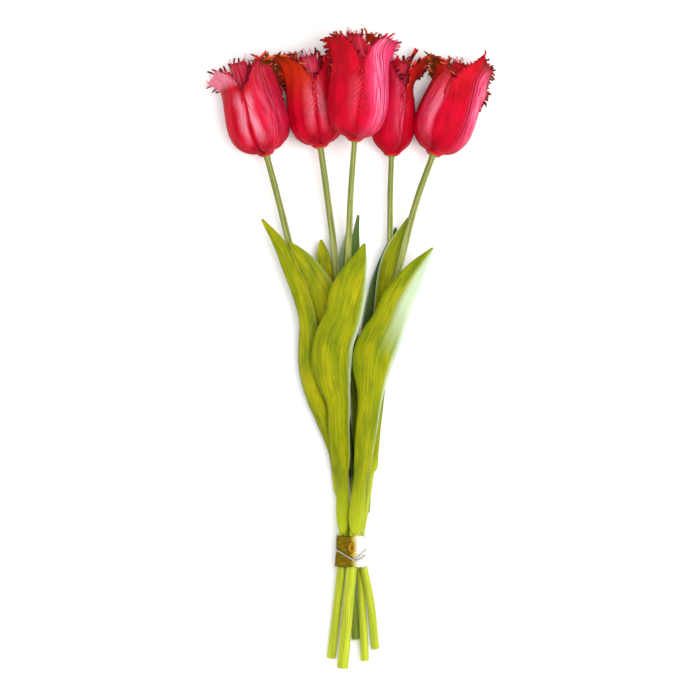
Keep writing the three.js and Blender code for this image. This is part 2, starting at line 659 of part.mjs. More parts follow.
// The wire: a loop in the band's groove, and its two ends twisted together on top.
function tieWire() {
  const distance = BAND_GAP + GROOVE_THICKNESS + CLEARANCE + WIRE_RADIUS;
  const centres = bandSides.map((k) => outlinePoint(k, grooveY(k), distance));
  const towardsEnd = new THREE.Vector3(0, 1, 0);
  const round = loop(centres.map((centre, k) => {
    const along = centres[(k + 1) % BAND_SIDES].clone().sub(centres.at(k - 1)).normalize();
    return ring(centre, along, towardsEnd, WIRE_RADIUS, WIRE_SIDES);
  }));
  const line = route(TWIST_PATH);
  const steps = TWIST_TURNS * TWIST_SIDES;
  const twist = loft(Array.from({ length: steps + 1 }, (_, i) => {
    const along = line.getTangent(i / steps);
    const wide = downFrom(along, (i * 360) / TWIST_SIDES);
    const [half, thin] = [TWIST_WIDTH * WIRE_RADIUS, WIRE_RADIUS];
    return ovalRing(line.getPoint(i / steps), along, wide, half, thin, TWIST_SIDES);
  }));
  return fused([round, twist]);
}

// The knot of the raffia: a flat lump with a waist, on top of the band.
function knot() {
  const line = route(KNOT_PATH);
  return loft(KNOT_RADII.map((radius, i) => {
    const share = i / (KNOT_RADII.length - 1);
    const along = line.getTangent(share);
    const wide = downFrom(along, 90);
    return ovalRing(line.getPoint(share), along, wide, radius, radius * KNOT_FLATNESS, KNOT_SIDES);
  }));
}

// ---- the bunch ---------------------------------------------------------------------------------

function finish(color, roughness, metalness = 0) {
  return new THREE.MeshStandardMaterial({ color, roughness, metalness, side: THREE.DoubleSide });
}

const petalRed = finish(0xc3122b, 0.55);
const pistilGreen = finish(0xb9c46a, 0.6);
const antherDark = finish(0x2c1c28, 0.8);
const stemGreen = finish(0x9fae4b, 0.5);
const leafGreen = finish(0x8f9f2b, 0.5);
const raffia = finish(0x8a7a2c, 0.8);
const wire = finish(0xc9ccd0, 0.3, 1);

function named(name, geometry, material) {
  const mesh = new THREE.Mesh(geometry, material);
  mesh.name = name;
  return mesh;
}

// One flower on top of its stem: three outer petals, three inner ones between them, six stamens
// and a pistil.
function flowerGroup(flower, number) {
  const line = route(STEMS[number - 1].path);
  const axis = line.getTangent(1);
  const back = downFrom(axis);
  const right = new THREE.Vector3().crossVectors(back, axis);
  const group = new THREE.Group();
  group.applyMatrix4(new THREE.Matrix4().makeBasis(right, back, axis));
  group.position.copy(line.getPoint(1));
  const draw = seeded(number * SEED_STEP);
  for (const [whorl, shape] of Object.entries(WHORLS)) {
    flower[whorl].forEach((ends, k) => {
      const facing = flower.turn + shape.offset + 120 * k;
      const surface = petalSurface(flower, shape, facing, ends);
      const name = `flower_${number}_petal_${whorl}_${k + 1}`;
      group.add(named(name, petal(surface, draw), petalRed));
    });
  }
  group.add(named(`flower_${number}_pistil`, pistil(), pistilGreen));
  group.add(named(`flower_${number}_stamens`, stamens(), antherDark));
  return group;
}

const bunch = new THREE.Group();
STEMS.forEach((spec, i) => bunch.add(named(`stem_${i + 1}`, stem(spec), stemGreen)));
FLOWERS.forEach((flower, i) => bunch.add(flowerGroup(flower, i + 1)));
LEAVES.forEach((spec) => bunch.add(named(spec.name, leaf(spec), leafGreen)));
bunch.add(named("tie_band", band(), raffia));
bunch.add(named("tie_wire", tieWire(), wire));
bunch.add(named("tie_knot", knot(), raffia));

export default bunch;
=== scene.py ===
"""The looks of a tied bunch of five fringed tulips, lying on a pale floor.

Lengths in the tables are in millimetres, in the part's own frame: the bunch lies along Y, with its
flowers towards +Y, on the plane z = 0. Every petal, leaf and stem is drawn from the same curves as
the CAD solid that it replaces, with a finer mesh, a fringe of hairs, veins and a grown surface.
"""

import math

import bpy
import numpy as np
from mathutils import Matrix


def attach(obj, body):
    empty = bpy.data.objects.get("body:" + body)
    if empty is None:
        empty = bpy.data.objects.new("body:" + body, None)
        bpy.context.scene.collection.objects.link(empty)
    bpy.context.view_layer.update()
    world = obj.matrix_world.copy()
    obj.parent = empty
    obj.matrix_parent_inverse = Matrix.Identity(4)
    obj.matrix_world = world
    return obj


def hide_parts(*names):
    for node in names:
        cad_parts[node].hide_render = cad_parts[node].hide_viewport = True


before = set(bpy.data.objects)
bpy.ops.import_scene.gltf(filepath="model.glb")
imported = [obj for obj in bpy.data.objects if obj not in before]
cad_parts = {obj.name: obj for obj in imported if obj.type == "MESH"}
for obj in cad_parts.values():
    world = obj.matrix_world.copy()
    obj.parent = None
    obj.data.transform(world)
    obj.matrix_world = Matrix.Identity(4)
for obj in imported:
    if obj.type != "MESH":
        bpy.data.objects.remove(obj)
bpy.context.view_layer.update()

MM = 0.001
TABLE_DOWN = np.array([0.0, 0.0, -1.0])

# ---- the bunch, as in the CAD model -------------------------------------------------------------

CLEARANCE = 0.35

RECEPTACLE_RADIUS = 4.4
FLARE_LENGTH = 5

PETAL_THICKNESS = 0.9
PETAL_ROOT_THICKNESS = 0.65
ROOT_SHARE = 0.12
FRINGE_START = 0.58
OPEN_START = 0.6
WIDE_FROM = 0.25
CLAW_ZONE = (0.1, 0.42)
RUFFLE = 1.4
RUFFLE_TURNS = 4.5
RUFFLE_START = {-1: 2.7, 1: 1.1}
MIDRIB_DEPTH = 0.5
MIDRIB_WIDTH = 2.45
MIDRIB_FADE = 0.2

LEAF_THICKNESS = 0.9
CLASP_BEND = 80

BAND_Y = -151
BAND_WIDTH = 23
BAND_THICKNESS = 1.1
BAND_GAP = 0.7
PRESSED_BELOW = 2
GROOVE_Y = -150
GROOVE_SLANT = 7
GROOVE_THICKNESS = 0.7
GROOVE_TOP = 1.6
WIRE_RADIUS = 0.5
TWIST_PATH = [[1.2, -156.6, 25.2], [3.8, -157.4, 26.9], [7.2, -156.2, 26.4], [11, -153.6, 23.8]]

# Each stem: its radii at the cut end and under the flower, and the points of its middle line.
# shade is how much painted shade darkens and cools it below the band, and a stem that has any
# also gets painted shade between the leaves.
STEMS = [
    dict(
        radii=[3.1, 2.3], shade=0.75,
        path=[
            [4.2, -218, 4.0], [-1.2, -151, 7.3], [-6.6, -113, 7.8], [-13.9, -68, 8.6],
            [-30.6, 8, 11.2], [-46.8, 83, 14.4], [-55.2, 117, 18], [-63.2, 147, 21.2],
        ],
    ),
    dict(
        radii=[3.0, 2.3], shade=0.1,
        path=[
            [18.8, -225, 5.6], [14.8, -188, 9.9], [7.4, -151, 12.9], [3.4, -113, 12.6],
            [-1.9, -60, 11.2], [-6.9, 0, 11.2], [-11.6, 68, 13.6], [-17.6, 117, 16.9],
            [-22.6, 153, 19.8],
        ],
    ),
    dict(
        radii=[3.4, 2.0], shade=0.1,
        path=[
            [-14.5, -232, 6.5], [-5.9, -151, 13.9], [-6.0, -113, 15.4], [-5.3, -38, 19.5],
            [-3.0, 38, 28], [-1.2, 83, 36], [0.4, 121, 42.5], [3.2, 156.5, 48.5],
        ],
    ),
    dict(
        radii=[3.1, 2.0], shade=0.0,
        path=[
            [10.9, -234, 10.4], [8.5, -188, 6.9], [6.2, -151, 6.0], [12.2, -113, 6.2],
            [20, -53, 6.9], [25.7, 15, 9.6], [29.4, 68, 12.8], [29.9, 120, 15.2], [30.8, 147, 16.6],
        ],
    ),
    dict(
        radii=[4.2, 2.2], shade=0.0,
        path=[
            [-6.0, -239, 13.5], [1.9, -151, 19.4], [5.3, -113, 22.4], [11.4, -68, 24.6],
            [24.4, 8, 27.5], [34.2, 53, 28.3], [49.6, 112, 25.8], [62.1, 147, 23.8],
        ],
    ),
]

BELLY = 24
HEIGHT = 72
ROOT_POINTS = 2
OUTER_PETAL = [
    [5.2, -1.2, 4.2], [6.4, 1.3, 5.6], [12.6, 3.4, 11.8], [19.6, 9.1, 18.6],
    [23.4, 17.6, 22.8], [24, 28, 23.6], [22.6, 41, 22.3], [20.6, 51, 20.0],
]
INNER_PETAL = [
    [3.7, 0.8, 2.6], [5.1, 3.8, 4.4], [11, 6.4, 10.0], [17.2, 11.6, 15.6],
    [20.8, 19.2, 19.6], [21.5, 28, 20.2], [19.6, 40.5, 17.2], [17.2, 50, 13.6],
]
WHORLS = dict(
    outer=dict(profile=OUTER_PETAL, shoulder=14, tip=8, opening=0.9, offset=0),
    inner=dict(profile=INNER_PETAL, shoulder=10.5, tip=6, opening=-0.8, offset=60),
)

# Each petal: [shoulder, height, tip, height, turn, half the tip's width, drop of its right corner],
# where the last two are only there if they differ. wide is the flower's width as a share of its depth,
# and claw narrows the petals below the belly, so that the inner ones show between the outer ones.
ENDS = 7
PLAIN_FLOWER = dict(wide=1, claw=0)
FLOWERS = [
    dict(
        belly=23.1, height=70, turn=45, claw=0.09,
        outer=[
            [17.5, 61, 20, 70, 6, 9.5, 1], [19, 61, 20, 67, 0], [19, 58.5, 27.5, 66.5, 16, 7, -4],
        ],
        inner=[[16, 60, 18, 67, 0], [18, 60, 20, 66, 0], [13.5, 62, 14, 72, 0]],
    ),
    dict(
        belly=20.6, height=70, turn=63, claw=0.05,
        outer=[[18, 60, 20, 67, 0], [18, 61, 19, 66, 0], [19, 62, 30, 71, 14]],
        inner=[[15, 61, 17, 67, 0], [16, 61, 18, 67, 0], [12.5, 61, 13, 68, -4]],
    ),
    dict(
        belly=22.0, height=81, turn=64,
        outer=[[19, 69, 27, 78, -13, 8, 3], [19, 69, 20, 77, 0], [22, 70, 31, 77, 14, 8, -2]],
        inner=[[17, 69, 17, 76, 22], [18, 70, 22, 76, 0], [14, 70, 15, 80, -35]],
    ),
    dict(
        belly=15.6, height=71, wide=1.07, turn=90,
        outer=[[17.4, 61, 20, 69, -38, 10.5, -5], [14.5, 61, 14, 67, 0], [13.6, 61, 13, 71, -6]],
        inner=[[13, 60, 17, 70, 0, 9], [12, 61, 12, 67, 0], [12, 60, 15, 66, 12, 9]],
    ),
    dict(
        belly=21.9, height=74, turn=42,
        outer=[[18, 64, 23, 76, 0, 6, 4], [17, 62, 15, 69, 0], [17.5, 61, 25, 66.5, 22]],
        inner=[[16, 62, 18, 70, 0], [15, 62, 15, 69, 0], [15, 62, 15, 69, 0]],
    ),
]

# Each leaf clasps its stem at two shares of the stem's length. Then each point of its path is
# [x, y, z, half width, turn, bend], where turn is the way that its hollow side faces, in degrees from
# straight down, and bend the degrees from its midrib to a margin. gold is the share of golden patches,
# cool_and_shaded how bluish and dark it is, partly its own bluish back and partly painted shade, fold
# how deeply its midrib is folded, with a painted highlight along it, and shine how bright the painted
# rim light on its margin is: the right one where its hollow side faces down, or the left one if shine
# is negative, with painted shade on the other margin. glare is how far painted glare whitens the leaf
# on that side, in its upper part.
PLAIN_LEAF = dict(gold=0.0, cool_and_shaded=0.0, fold=0.0, shine=0.0, glare=0.0)
LEAVES = [
    dict(
        name="leaf_1_lower", stem=1, clasp=[0.29, 0.39], turn=-10,
        gold=0.7, fold=1.0, shine=0.15,
        path=[
            [-19.8, -55, 14.6, 7.8, -15, 62], [-28.2, -31, 18.8, 10, -22, 50],
            [-31.8, -10, 20.8, 11, -25, 45], [-32, 6, 21.8, 10.2, -22, 48],
            [-33, 22, 22.8, 7.4, -15, 52], [-38, 43, 23.8, 7.2, -8, 50],
            [-45.6, 63, 24.2, 6.6, 0, 45], [-53, 79, 23.8, 5.0, 0, 40], [-66.4, 98, 22.6, 0.9, 0, 20],
        ],
    ),
    dict(
        name="leaf_1_upper", stem=1, clasp=[0.46, 0.51], turn=85,
        gold=0.8, fold=0.2, shine=0.2,
        path=[
            [-20, -10, 14.8, 5.8, 30, 34], [-19, 8, 16.2, 8.8, 8, 26], [-18.8, 25, 17.8, 11, -5, 20],
            [-22.6, 43, 19, 11.4, -6, 15], [-30.6, 60, 19.8, 8.6, 0, 15], [-38, 71, 20.6, 5.4, 0, 15],
            [-46, 81, 20.8, 0.9, 0, 12],
        ],
    ),
    dict(
        name="leaf_2_left", stem=2, clasp=[0.46, 0.5], turn=-100,
        gold=1.5, fold=0.8, shine=0.3,
        path=[
            [-10.6, -8, 6.6, 5, -145, 38], [-14.4, 18, 7.0, 6.8, -170, 25],
            [-17.8, 42, 8.6, 7.6, -180, 18], [-19.6, 60, 9.6, 6.6, -180, 16],
            [-21, 73, 10.4, 4.6, -180, 14], [-22.2, 83, 11, 0.9, -180, 12],
        ],
    ),
    dict(
        name="leaf_2_right", stem=2, clasp=[0.37, 0.42], turn=110,
        cool_and_shaded=0.25, fold=0.3, shine=0.6, glare=0.4,
        path=[
            [4.2, -36, 7.4, 5.6, 120, 42], [1.6, -10, 5.2, 6.6, 150, 30], [-1.6, 15, 4.2, 7.4, 175, 22],
            [-4.2, 40, 5.2, 7.2, 180, 18], [-4.8, 62, 7, 5.6, 180, 16], [-4, 76, 8.4, 3.6, 180, 14],
            [-2.6, 88, 9.6, 0.9, 180, 12],
        ],
    ),
    dict(
        name="leaf_3_front", stem=3, clasp=[0.19, 0.31], turn=0,
        gold=0.55, shine=1.0,
        path=[
            [-7.4, -82, 21.4, 8.8, 0, 66], [-8.8, -58, 25, 9.4, 0, 58], [-9, -40, 28, 10, 0, 48],
            [-11.6, -27, 30.4, 13, 0, 42], [-14, -12, 33, 16.2, 0, 38], [-12.6, 6, 36.4, 16, 0, 34],
            [-6, 23, 39.6, 14.6, 0, 32], [-2.2, 41, 42.6, 14.4, 0, 30], [2.4, 56, 45.2, 10.6, 0, 28],
            [6.6, 67, 47, 6.2, 0, 24], [10.4, 79, 48.6, 0.9, 0, 16],
        ],
    ),
    dict(
        name="leaf_3_back", stem=3, clasp=[0.46, 0.5], turn=165,
        cool_and_shaded=1.0, fold=0.3, shine=0.1,
        path=[
            [-1.6, 24, 21, 6.4, 175, 32], [0.4, 44, 22, 6.4, 180, 22], [2.0, 62, 23, 5.2, 180, 20],
            [3.2, 78, 24.4, 3.6, 180, 16], [4.4, 90, 26, 2.1, 180, 14], [5.8, 101, 27.2, 0.9, 180, 12],
        ],
    ),
    dict(
        name="leaf_4_front", stem=4, clasp=[0.42, 0.46], turn=0,
        gold=0.4, fold=0.1, shine=-0.8,
        path=[
            [21.4, -12, 12.8, 7, -5, 50], [23.4, 18, 15.6, 7.8, -10, 35], [25.6, 42, 18, 7.8, -10, 28],
            [28, 58, 19.2, 7.8, -8, 24], [31.6, 72, 20, 7, -5, 22], [37.4, 86, 20.6, 4, 0, 18],
            [43.4, 99, 21.4, 0.9, 0, 12],
        ],
    ),
    dict(
        name="leaf_4_back", stem=4, clasp=[0.34, 0.37], turn=-150,
        cool_and_shaded=1.0, shine=0.1,
        path=[
            [13, -54, 3.2, 4.2, -158, 46], [13, -30, 4, 6, -170, 32], [14.4, 0, 4.4, 7.6, -180, 22],
            [18, 26, 6, 7.8, -180, 18], [22.8, 50, 7.2, 7.4, -180, 16], [27.2, 66, 8.6, 6, -180, 15],
            [31, 79, 9.6, 4, -180, 14], [34.2, 92, 10.6, 0.9, -180, 12],
        ],
    ),
    dict(
        name="leaf_5_front", stem=5, clasp=[0.19, 0.31], turn=0,
        gold=0.5, shine=1.0, glare=0.75,
        path=[
            [9.4, -82, 29.2, 8.4, 0, 64], [11.8, -60, 30.8, 9.4, 0, 56], [14.2, -41, 32.8, 9.8, 0, 48],
            [15.2, -27, 34.8, 12, 0, 42], [15.8, -14, 37, 15.4, 0, 38], [17.8, -3, 39, 16.6, 0, 36],
            [22.8, 9, 41.4, 15.8, 0, 34], [28.6, 21, 43.2, 13.4, 0, 32], [34, 35, 44.8, 12.4, 0, 30],
            [42, 49, 45.6, 10, 0, 26], [48.2, 59, 45.6, 7.4, 0, 22], [61.4, 76, 44, 0.9, 0, 14],
        ],
    ),
]

# ---- what the looks add -------------------------------------------------------------------------

PETAL_COLUMNS = 30
PETAL_SMOOTH_ROWS = 34
PETAL_FRINGE_ROWS = 84
PETAL_EDGE_THICKNESS = 0.35
MARGIN_HUG = 0.8  # how far an outer petal's margins lie closer to the inner petals
MARGIN_REACH = 0.07  # share by which outer petals are wider, so that their margins meet
TOP_REACH = 0.18  # the same share where the fringe begins
LOW_REACH = 0.06  # more of it below the belly
ROOT_REACH = 0.2  # share by which petals are wider at the root, so that the cup is closed
ROOT_HUG = 1.1  # how much closer to the stem the petals' roots lie
INNER_SWELL = 1.2  # how far an inner petal swells out between the outer ones, below its tip
MARGIN_LAP = 0.4  # how far a right margin lies over the next petal's left one, and that one under
# Shares of the way from root to tip: between the first two, each of these changes begins or ends, and
# where there are four, it goes back between the last two.
JOINED_ZONE = (0.05, 0.2, 0.55, 0.75)  # of MARGIN_REACH and MARGIN_LAP
TOP_ZONE = (0.5, 0.74, 0.8, 0.96)  # of TOP_REACH
LOW_ZONE = (0.03, 0.12, 0.3, 0.5)  # of LOW_REACH
HUG_ZONE = (0.04, 0.15, 0.56, 0.74)  # of MARGIN_HUG
ROOT_ZONE = (0.02, 0.16)  # of ROOT_REACH
ROOT_HUG_ZONE = (0, 0.09)
SWELL_ZONE = (0.5, 0.72)  # of INNER_SWELL
RELIEF_ZONE = (0.1, 0.3)  # of the ribs and folds
TOOTH_SPACING = 3.0
TOOTH_STEPS = [0.75, 1.3]  # the range of steps between teeth, as shares of their spacing
TOOTH_HALVES = [0.38, 0.55]  # and of half their widths, as shares of it too
TOOTH_HEIGHTS = [0.45, 1]  # the range of their heights, as shares of their depth
TOOTH_DEPTH = 1.6
TOOTH_LEAN = [0.72, 0.85]  # how far a tooth's point lies outwards and onwards, as shares of its depth
TOOTH_BEGINS = 0.12  # share of the petal over which the teeth grow to their full depth
TOOTH_ROOM = 0.55  # where, from midrib to margin, the jagged edge begins to bend the petal
PRESSED_FROM = 0.5  # how near the table petals and their fringe are pressed flat on it
RIB_HEIGHT = 0.1  # of the fine lengthwise ribs on petals
RIB_SPACING = 2.6
FOLD_HEIGHT = 0.3  # of the broad soft folds on petals
FOLD_SPACING = 9.0
NO_SEAM = 99.0  # stands for a distance from the seam on a petal that doesn't adjoin it
PETAL_STEP = 120  # degrees from one petal of a whorl to the next

HAIR_SPACING = 3.1
HAIR_LENGTH = [4.4, 8.2]  # where the fringe begins, and at the tip
HAIR_WIDTH = 1.3
HAIR_FLATNESS = 0.85
HAIR_TAPER = 0.82  # share of its width that a hair keeps from halfway on
HAIR_END = [0.96, 14]  # how far its rounded end closes, and how blunt that is
HAIR_VARIETY = [0.65, 1.1]  # the range of their lengths and widths, as shares
HAIR_RINGS = 9
HAIR_SIDES = 4
MARGIN_SAMPLES = 400  # places along a margin by which its length is measured
HAIR_ROOT_DEPTH = 1.2
HAIR_LEAN = [20, 52]  # degrees from square to the margin, where the fringe begins and at the tip
HAIR_SWAY = 12  # degrees by which neighbours lean together
HAIR_STRAY = 7  # degrees by which each one leans as it likes
HAIR_LIFT = 0.2  # how far hairs stray off the petal or towards it, as a share of their length
HAIR_DROP = [0.3, 1.2]  # the range of how far they bend by their petal's curl
HAIR_BEND = [0.3, 0.35]  # how far they stray onwards and outwards in a bend
HAIR_CURL = 0.5  # how far their ends stray sideways where they are tangled
HAIR_RECOIL = 0.15  # how far their ends draw back
HAIR_FAN = 38  # degrees, of the hairs at the two corners of a petal's tip
TIP_CROWD = 1.1  # how much closer together they stand on the tip
TIP_REACH = 0.95  # share of the tip's half width that they take up

LEAF_COLUMNS = 30
LEAF_ROWS = 120
LEAF_ROW_GROWTH = 1.15  # above 1, rows are closer together near the foot
LEAF_CALM = (1, 4)  # half widths between which the relief fades in
LEAF_EDGE_THICKNESS = 0.45
SHEATH_THICKNESS = 0.4
LEAF_RIB_HEIGHT = 0.07
LEAF_RIB_SPACING = 1.5
LEAF_FOLD_DEPTH = 0.7
LEAF_FOLD_WIDTH = 2.2
SHEATH_SHARE = 0.12  # of a leaf, where it holds its stem and thins out towards its foot
SHEATH_HUG = 0.75  # how much closer to the stem the foot lies
SHEATH_CURVE = 0.035  # share of the leaf by which the foot's margins stand back from its middle

STEM_SIDES = 28
STEM_RINGS = 114  # between the cut end and the flare
FLARE_RINGS = 12
STEM_BUMPS = 0.008  # height of its soft bumps, as a share of its radius
CUT_RINGS = [0, 0, 0, 0.0006]  # shares of the stem's length, from the cut's middle to its rim
CUT_RADII = [0.3, 0.74, 0.9, 1]  # shares of its radius there
CUT_HOLLOW = 0.3

PISTIL_SIDES = 36
PISTIL_RINGS = 44
PISTIL_LOBES = 3
# Each point: its radius, height and how deep the lobes are, as a share of the radius.
PISTIL_PROFILE = [
    [1.2, CLEARANCE, 0], [1.75, CLEARANCE + 0.3, 0.02], [2.1, 5, 0.05], [2.0, 12, 0.08],
    [1.3, 15.5, 0.1], [2.8, 17.2, 0.35], [1.7, 18.6, 0.4], [0.6, 18.3, 0.2],
]
STAMENS = 6
STAMEN_STRAY = 6  # degrees
STAMEN_SIDES = 10
STAMEN_RINGS = 30
# Each point: its distance from the flower's axis, its height and the stamen's radius.
STAMEN_PROFILE = [
    [2.65, 0.6, 0.3], [2.75, 1.2, 0.5], [4.3, 8.5, 0.36], [4.6, 9.2, 0.7], [4.8, 10, 1.1],
    [5.4, 14.5, 1.15], [5.65, 16.8, 0.7], [5.7, 17.6, 0.2],
]
ANTHER_BEGINS = (8.8, 9.8)  # the heights between which filament turns to anther


# ---- curves -------------------------------------------------------------------------------------

def mix(a, b, share):
    return a + (b - a) * share


def smooth_step(x, low, high):
    share = np.clip((np.asarray(x, float) - low) / (high - low), 0, 1)
    return share * share * (3 - 2 * share)


def fall(x, low, high):
    return 1 - smooth_step(x, low, high)


def hump(x, low, high, top_end, end):
    """Rises from 0 to 1 between low and high, and falls again between top_end and end."""
    return smooth_step(x, low, high) * fall(x, top_end, end)


def unit(vectors):
    return vectors / np.linalg.norm(vectors, axis=-1, keepdims=True)


def run_along(points):
    """The way along a row of points, up to each of them."""
    return np.concatenate([[0], np.cumsum(np.linalg.norm(np.diff(points, axis=0), axis=1))])


def round_angles(count, start=0):
    """Angles that share out a whole turn evenly, beginning at start steps."""
    return 2 * math.pi * (np.arange(count) + start) / count


def spokes(first, second, angle):
    """For each pair of directions, the ones at each angle from first towards second."""
    return first[..., None, :] * np.cos(angle)[:, None] + second[..., None, :] * np.sin(angle)[:, None]


class Route:
    """A smooth curve through points: a centripetal Catmull-Rom spline with evenly shared spans."""

    SHORTEST = 1e-4
    STEP = 1e-4

    def __init__(self, points):
        inner = np.array(points, float)
        before = 2 * inner[0] - inner[1]
        after = 2 * inner[-1] - inner[-2]
        self.spans = len(inner) - 1
        self.points = np.vstack([before, inner, after])

    def at(self, shares):
        place = np.clip(np.asarray(shares, float), 0, 1) * self.spans
        first = np.minimum(place.astype(int), self.spans - 1)
        w = (place - first)[..., None]
        p0, p1, p2, p3 = (self.points[first + k] for k in range(4))
        d0, d1, d2 = (self.chord(a, b) for a, b in ((p0, p1), (p1, p2), (p2, p3)))
        d1 = np.where(d1 < self.SHORTEST, 1.0, d1)
        d0 = np.where(d0 < self.SHORTEST, d1, d0)
        d2 = np.where(d2 < self.SHORTEST, d1, d2)
        start = ((p1 - p0) / d0 - (p2 - p0) / (d0 + d1) + (p2 - p1) / d1) * d1
        end = ((p2 - p1) / d1 - (p3 - p1) / (d1 + d2) + (p3 - p2) / d2) * d1
        square = -3 * p1 + 3 * p2 - 2 * start - end
        cube = 2 * p1 - 2 * p2 + start + end
        return p1 + w * (start + w * (square + w * cube))

    @staticmethod
    def chord(a, b):
        return np.linalg.norm(b - a, axis=-1, keepdims=True) ** 0.5

    def tangent(self, shares):
        shares = np.asarray(shares, float)
        ahead = self.at(np.minimum(shares + self.STEP, 1))
        behind = self.at(np.maximum(shares - self.STEP, 0))
        return unit(ahead - behind)


def down_from(along, turn=0.0):
    """The downward direction square to along, turned about along by turn degrees."""
    drop = np.sum(along * TABLE_DOWN, axis=-1, keepdims=True)
    down = unit(TABLE_DOWN - along * drop)
    side = np.cross(along, down)
    angle = np.radians(np.asarray(turn, float))[..., None]
    return down * np.cos(angle) + side * np.sin(angle)


# ---- meshes -------------------------------------------------------------------------------------

def grid_faces(rows, columns, closed_rows=False, closed_columns=False):
    """Quads between rows of points, each row of columns points."""
    i = np.arange(rows if closed_rows else rows - 1)[:, None]
    j = np.arange(columns if closed_columns else columns - 1)[None, :]
    over, across = (i + 1) % rows, (j + 1) % columns
    corners = [i * columns + j, over * columns + j, over * columns + across, i * columns + across]
    return np.stack([np.broadcast_to(c, (i.size, j.size)) for c in corners], -1).reshape(-1, 4)


def tube_faces(rings, sides):
    """Quads of a tube through rings, and the two flat ends."""
    last = (rings - 1) * sides
    return [
        grid_faces(rings, sides, closed_columns=True)[:, ::-1],
        np.arange(sides)[None, ::-1],
        (last + np.arange(sides))[None, :],
    ]


def ring_points(centre, along, side, radius, sides):
    """A ring round each centre, square to along, whose first point is towards side."""
    up = unit(np.cross(along, side))
    radius = np.asarray(radius, float)[..., None, None]
    return centre[..., None, :] + radius * spokes(side, up, round_angles(sides))


class Piece:
    """Gathers closed parts, with a value of each attribute at each point, for one mesh object."""

    def __init__(self):
        self.points = []
        self.faces = []
        self.values = {}
        self.count = 0

    def add(self, points, faces, **values):
        flat = points.reshape(-1, 3)
        self.points.append(flat)
        self.faces += [face + self.count for face in faces]
        for name, value in values.items():
            spread = np.broadcast_to(np.asarray(value, float), points.shape[:-1]).reshape(-1)
            self.values.setdefault(name, []).append(spread)
        self.count += len(flat)

    def build(self, name, material, slot, *nodes):
        mesh = bpy.data.meshes.new(name)
        points = np.vstack(self.points) * MM
        corners = np.concatenate([face.ravel() for face in self.faces])
        sizes = np.concatenate([np.full(len(face), face.shape[1]) for face in self.faces])
        mesh.vertices.add(len(points))
        mesh.vertices.foreach_set("co", points.astype(np.float32).ravel())
        mesh.loops.add(len(corners))
        mesh.loops.foreach_set("vertex_index", corners.astype(np.int32))
        mesh.polygons.add(len(sizes))
        mesh.polygons.foreach_set("loop_start", (np.cumsum(sizes) - sizes).astype(np.int32))
        mesh.polygons.foreach_set("use_smooth", np.ones(len(sizes), bool))
        for key, parts in self.values.items():
            layer = mesh.attributes.new(key, "FLOAT", "POINT")
            layer.data.foreach_set("value", np.concatenate(parts).astype(np.float32))
        mesh.update(calc_edges=True)
        mesh.materials.append(material)
        piece = bpy.data.objects.new(name, mesh)
        bpy.context.scene.collection.objects.link(piece)
        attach(piece, "root")
        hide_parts(*nodes)


def blade_grid(rows, columns):
    """Grids of u, at these rows, and of v, in columns that are closer together at both margins."""
    even = np.linspace(-1, 1, columns + 1)
    return np.meshgrid(rows, (even + np.sin(even * math.pi / 2)) / 2, indexing="ij")


def surface_frame(surface, u, v):
    """The directions along a surface, across it and square to it, at u and v."""
    step = 1e-3
    inner = np.clip(u, step, 1 - step)
    along = unit(surface(inner + step, v) - surface(inner - step, v))
    across = unit(surface(u, v + step) - surface(u, v - step))
    return along, across, unit(np.cross(along, across))


def blade(surface, u, v, thickness):
    """A thin closed blade on both sides of surface(u, v): its points, faces and surface_frame.

    The points come as one grid for each face. thickness holds a value for each grid point.
    """
    middle = surface(u, v)
    directions = surface_frame(surface, u, v)
    offset = directions[2] * (thickness[..., None] / 2)
    points = np.stack([middle + offset, middle - offset])
    rows, columns = middle.shape[:2]
    count = rows * columns
    upper = grid_faces(rows, columns)
    lower = upper[:, ::-1] + count
    index = np.arange(count).reshape(rows, columns)
    rim = np.concatenate([index[:, 0], index[-1, 1:], index[-2::-1, -1], index[0, -2:0:-1]])
    onward = np.roll(rim, -1)
    edge = np.stack([rim, rim + count, onward + count, onward], -1)
    return points, [upper, lower, edge], directions


# ---- flowers ------------------------------------------------------------------------------------

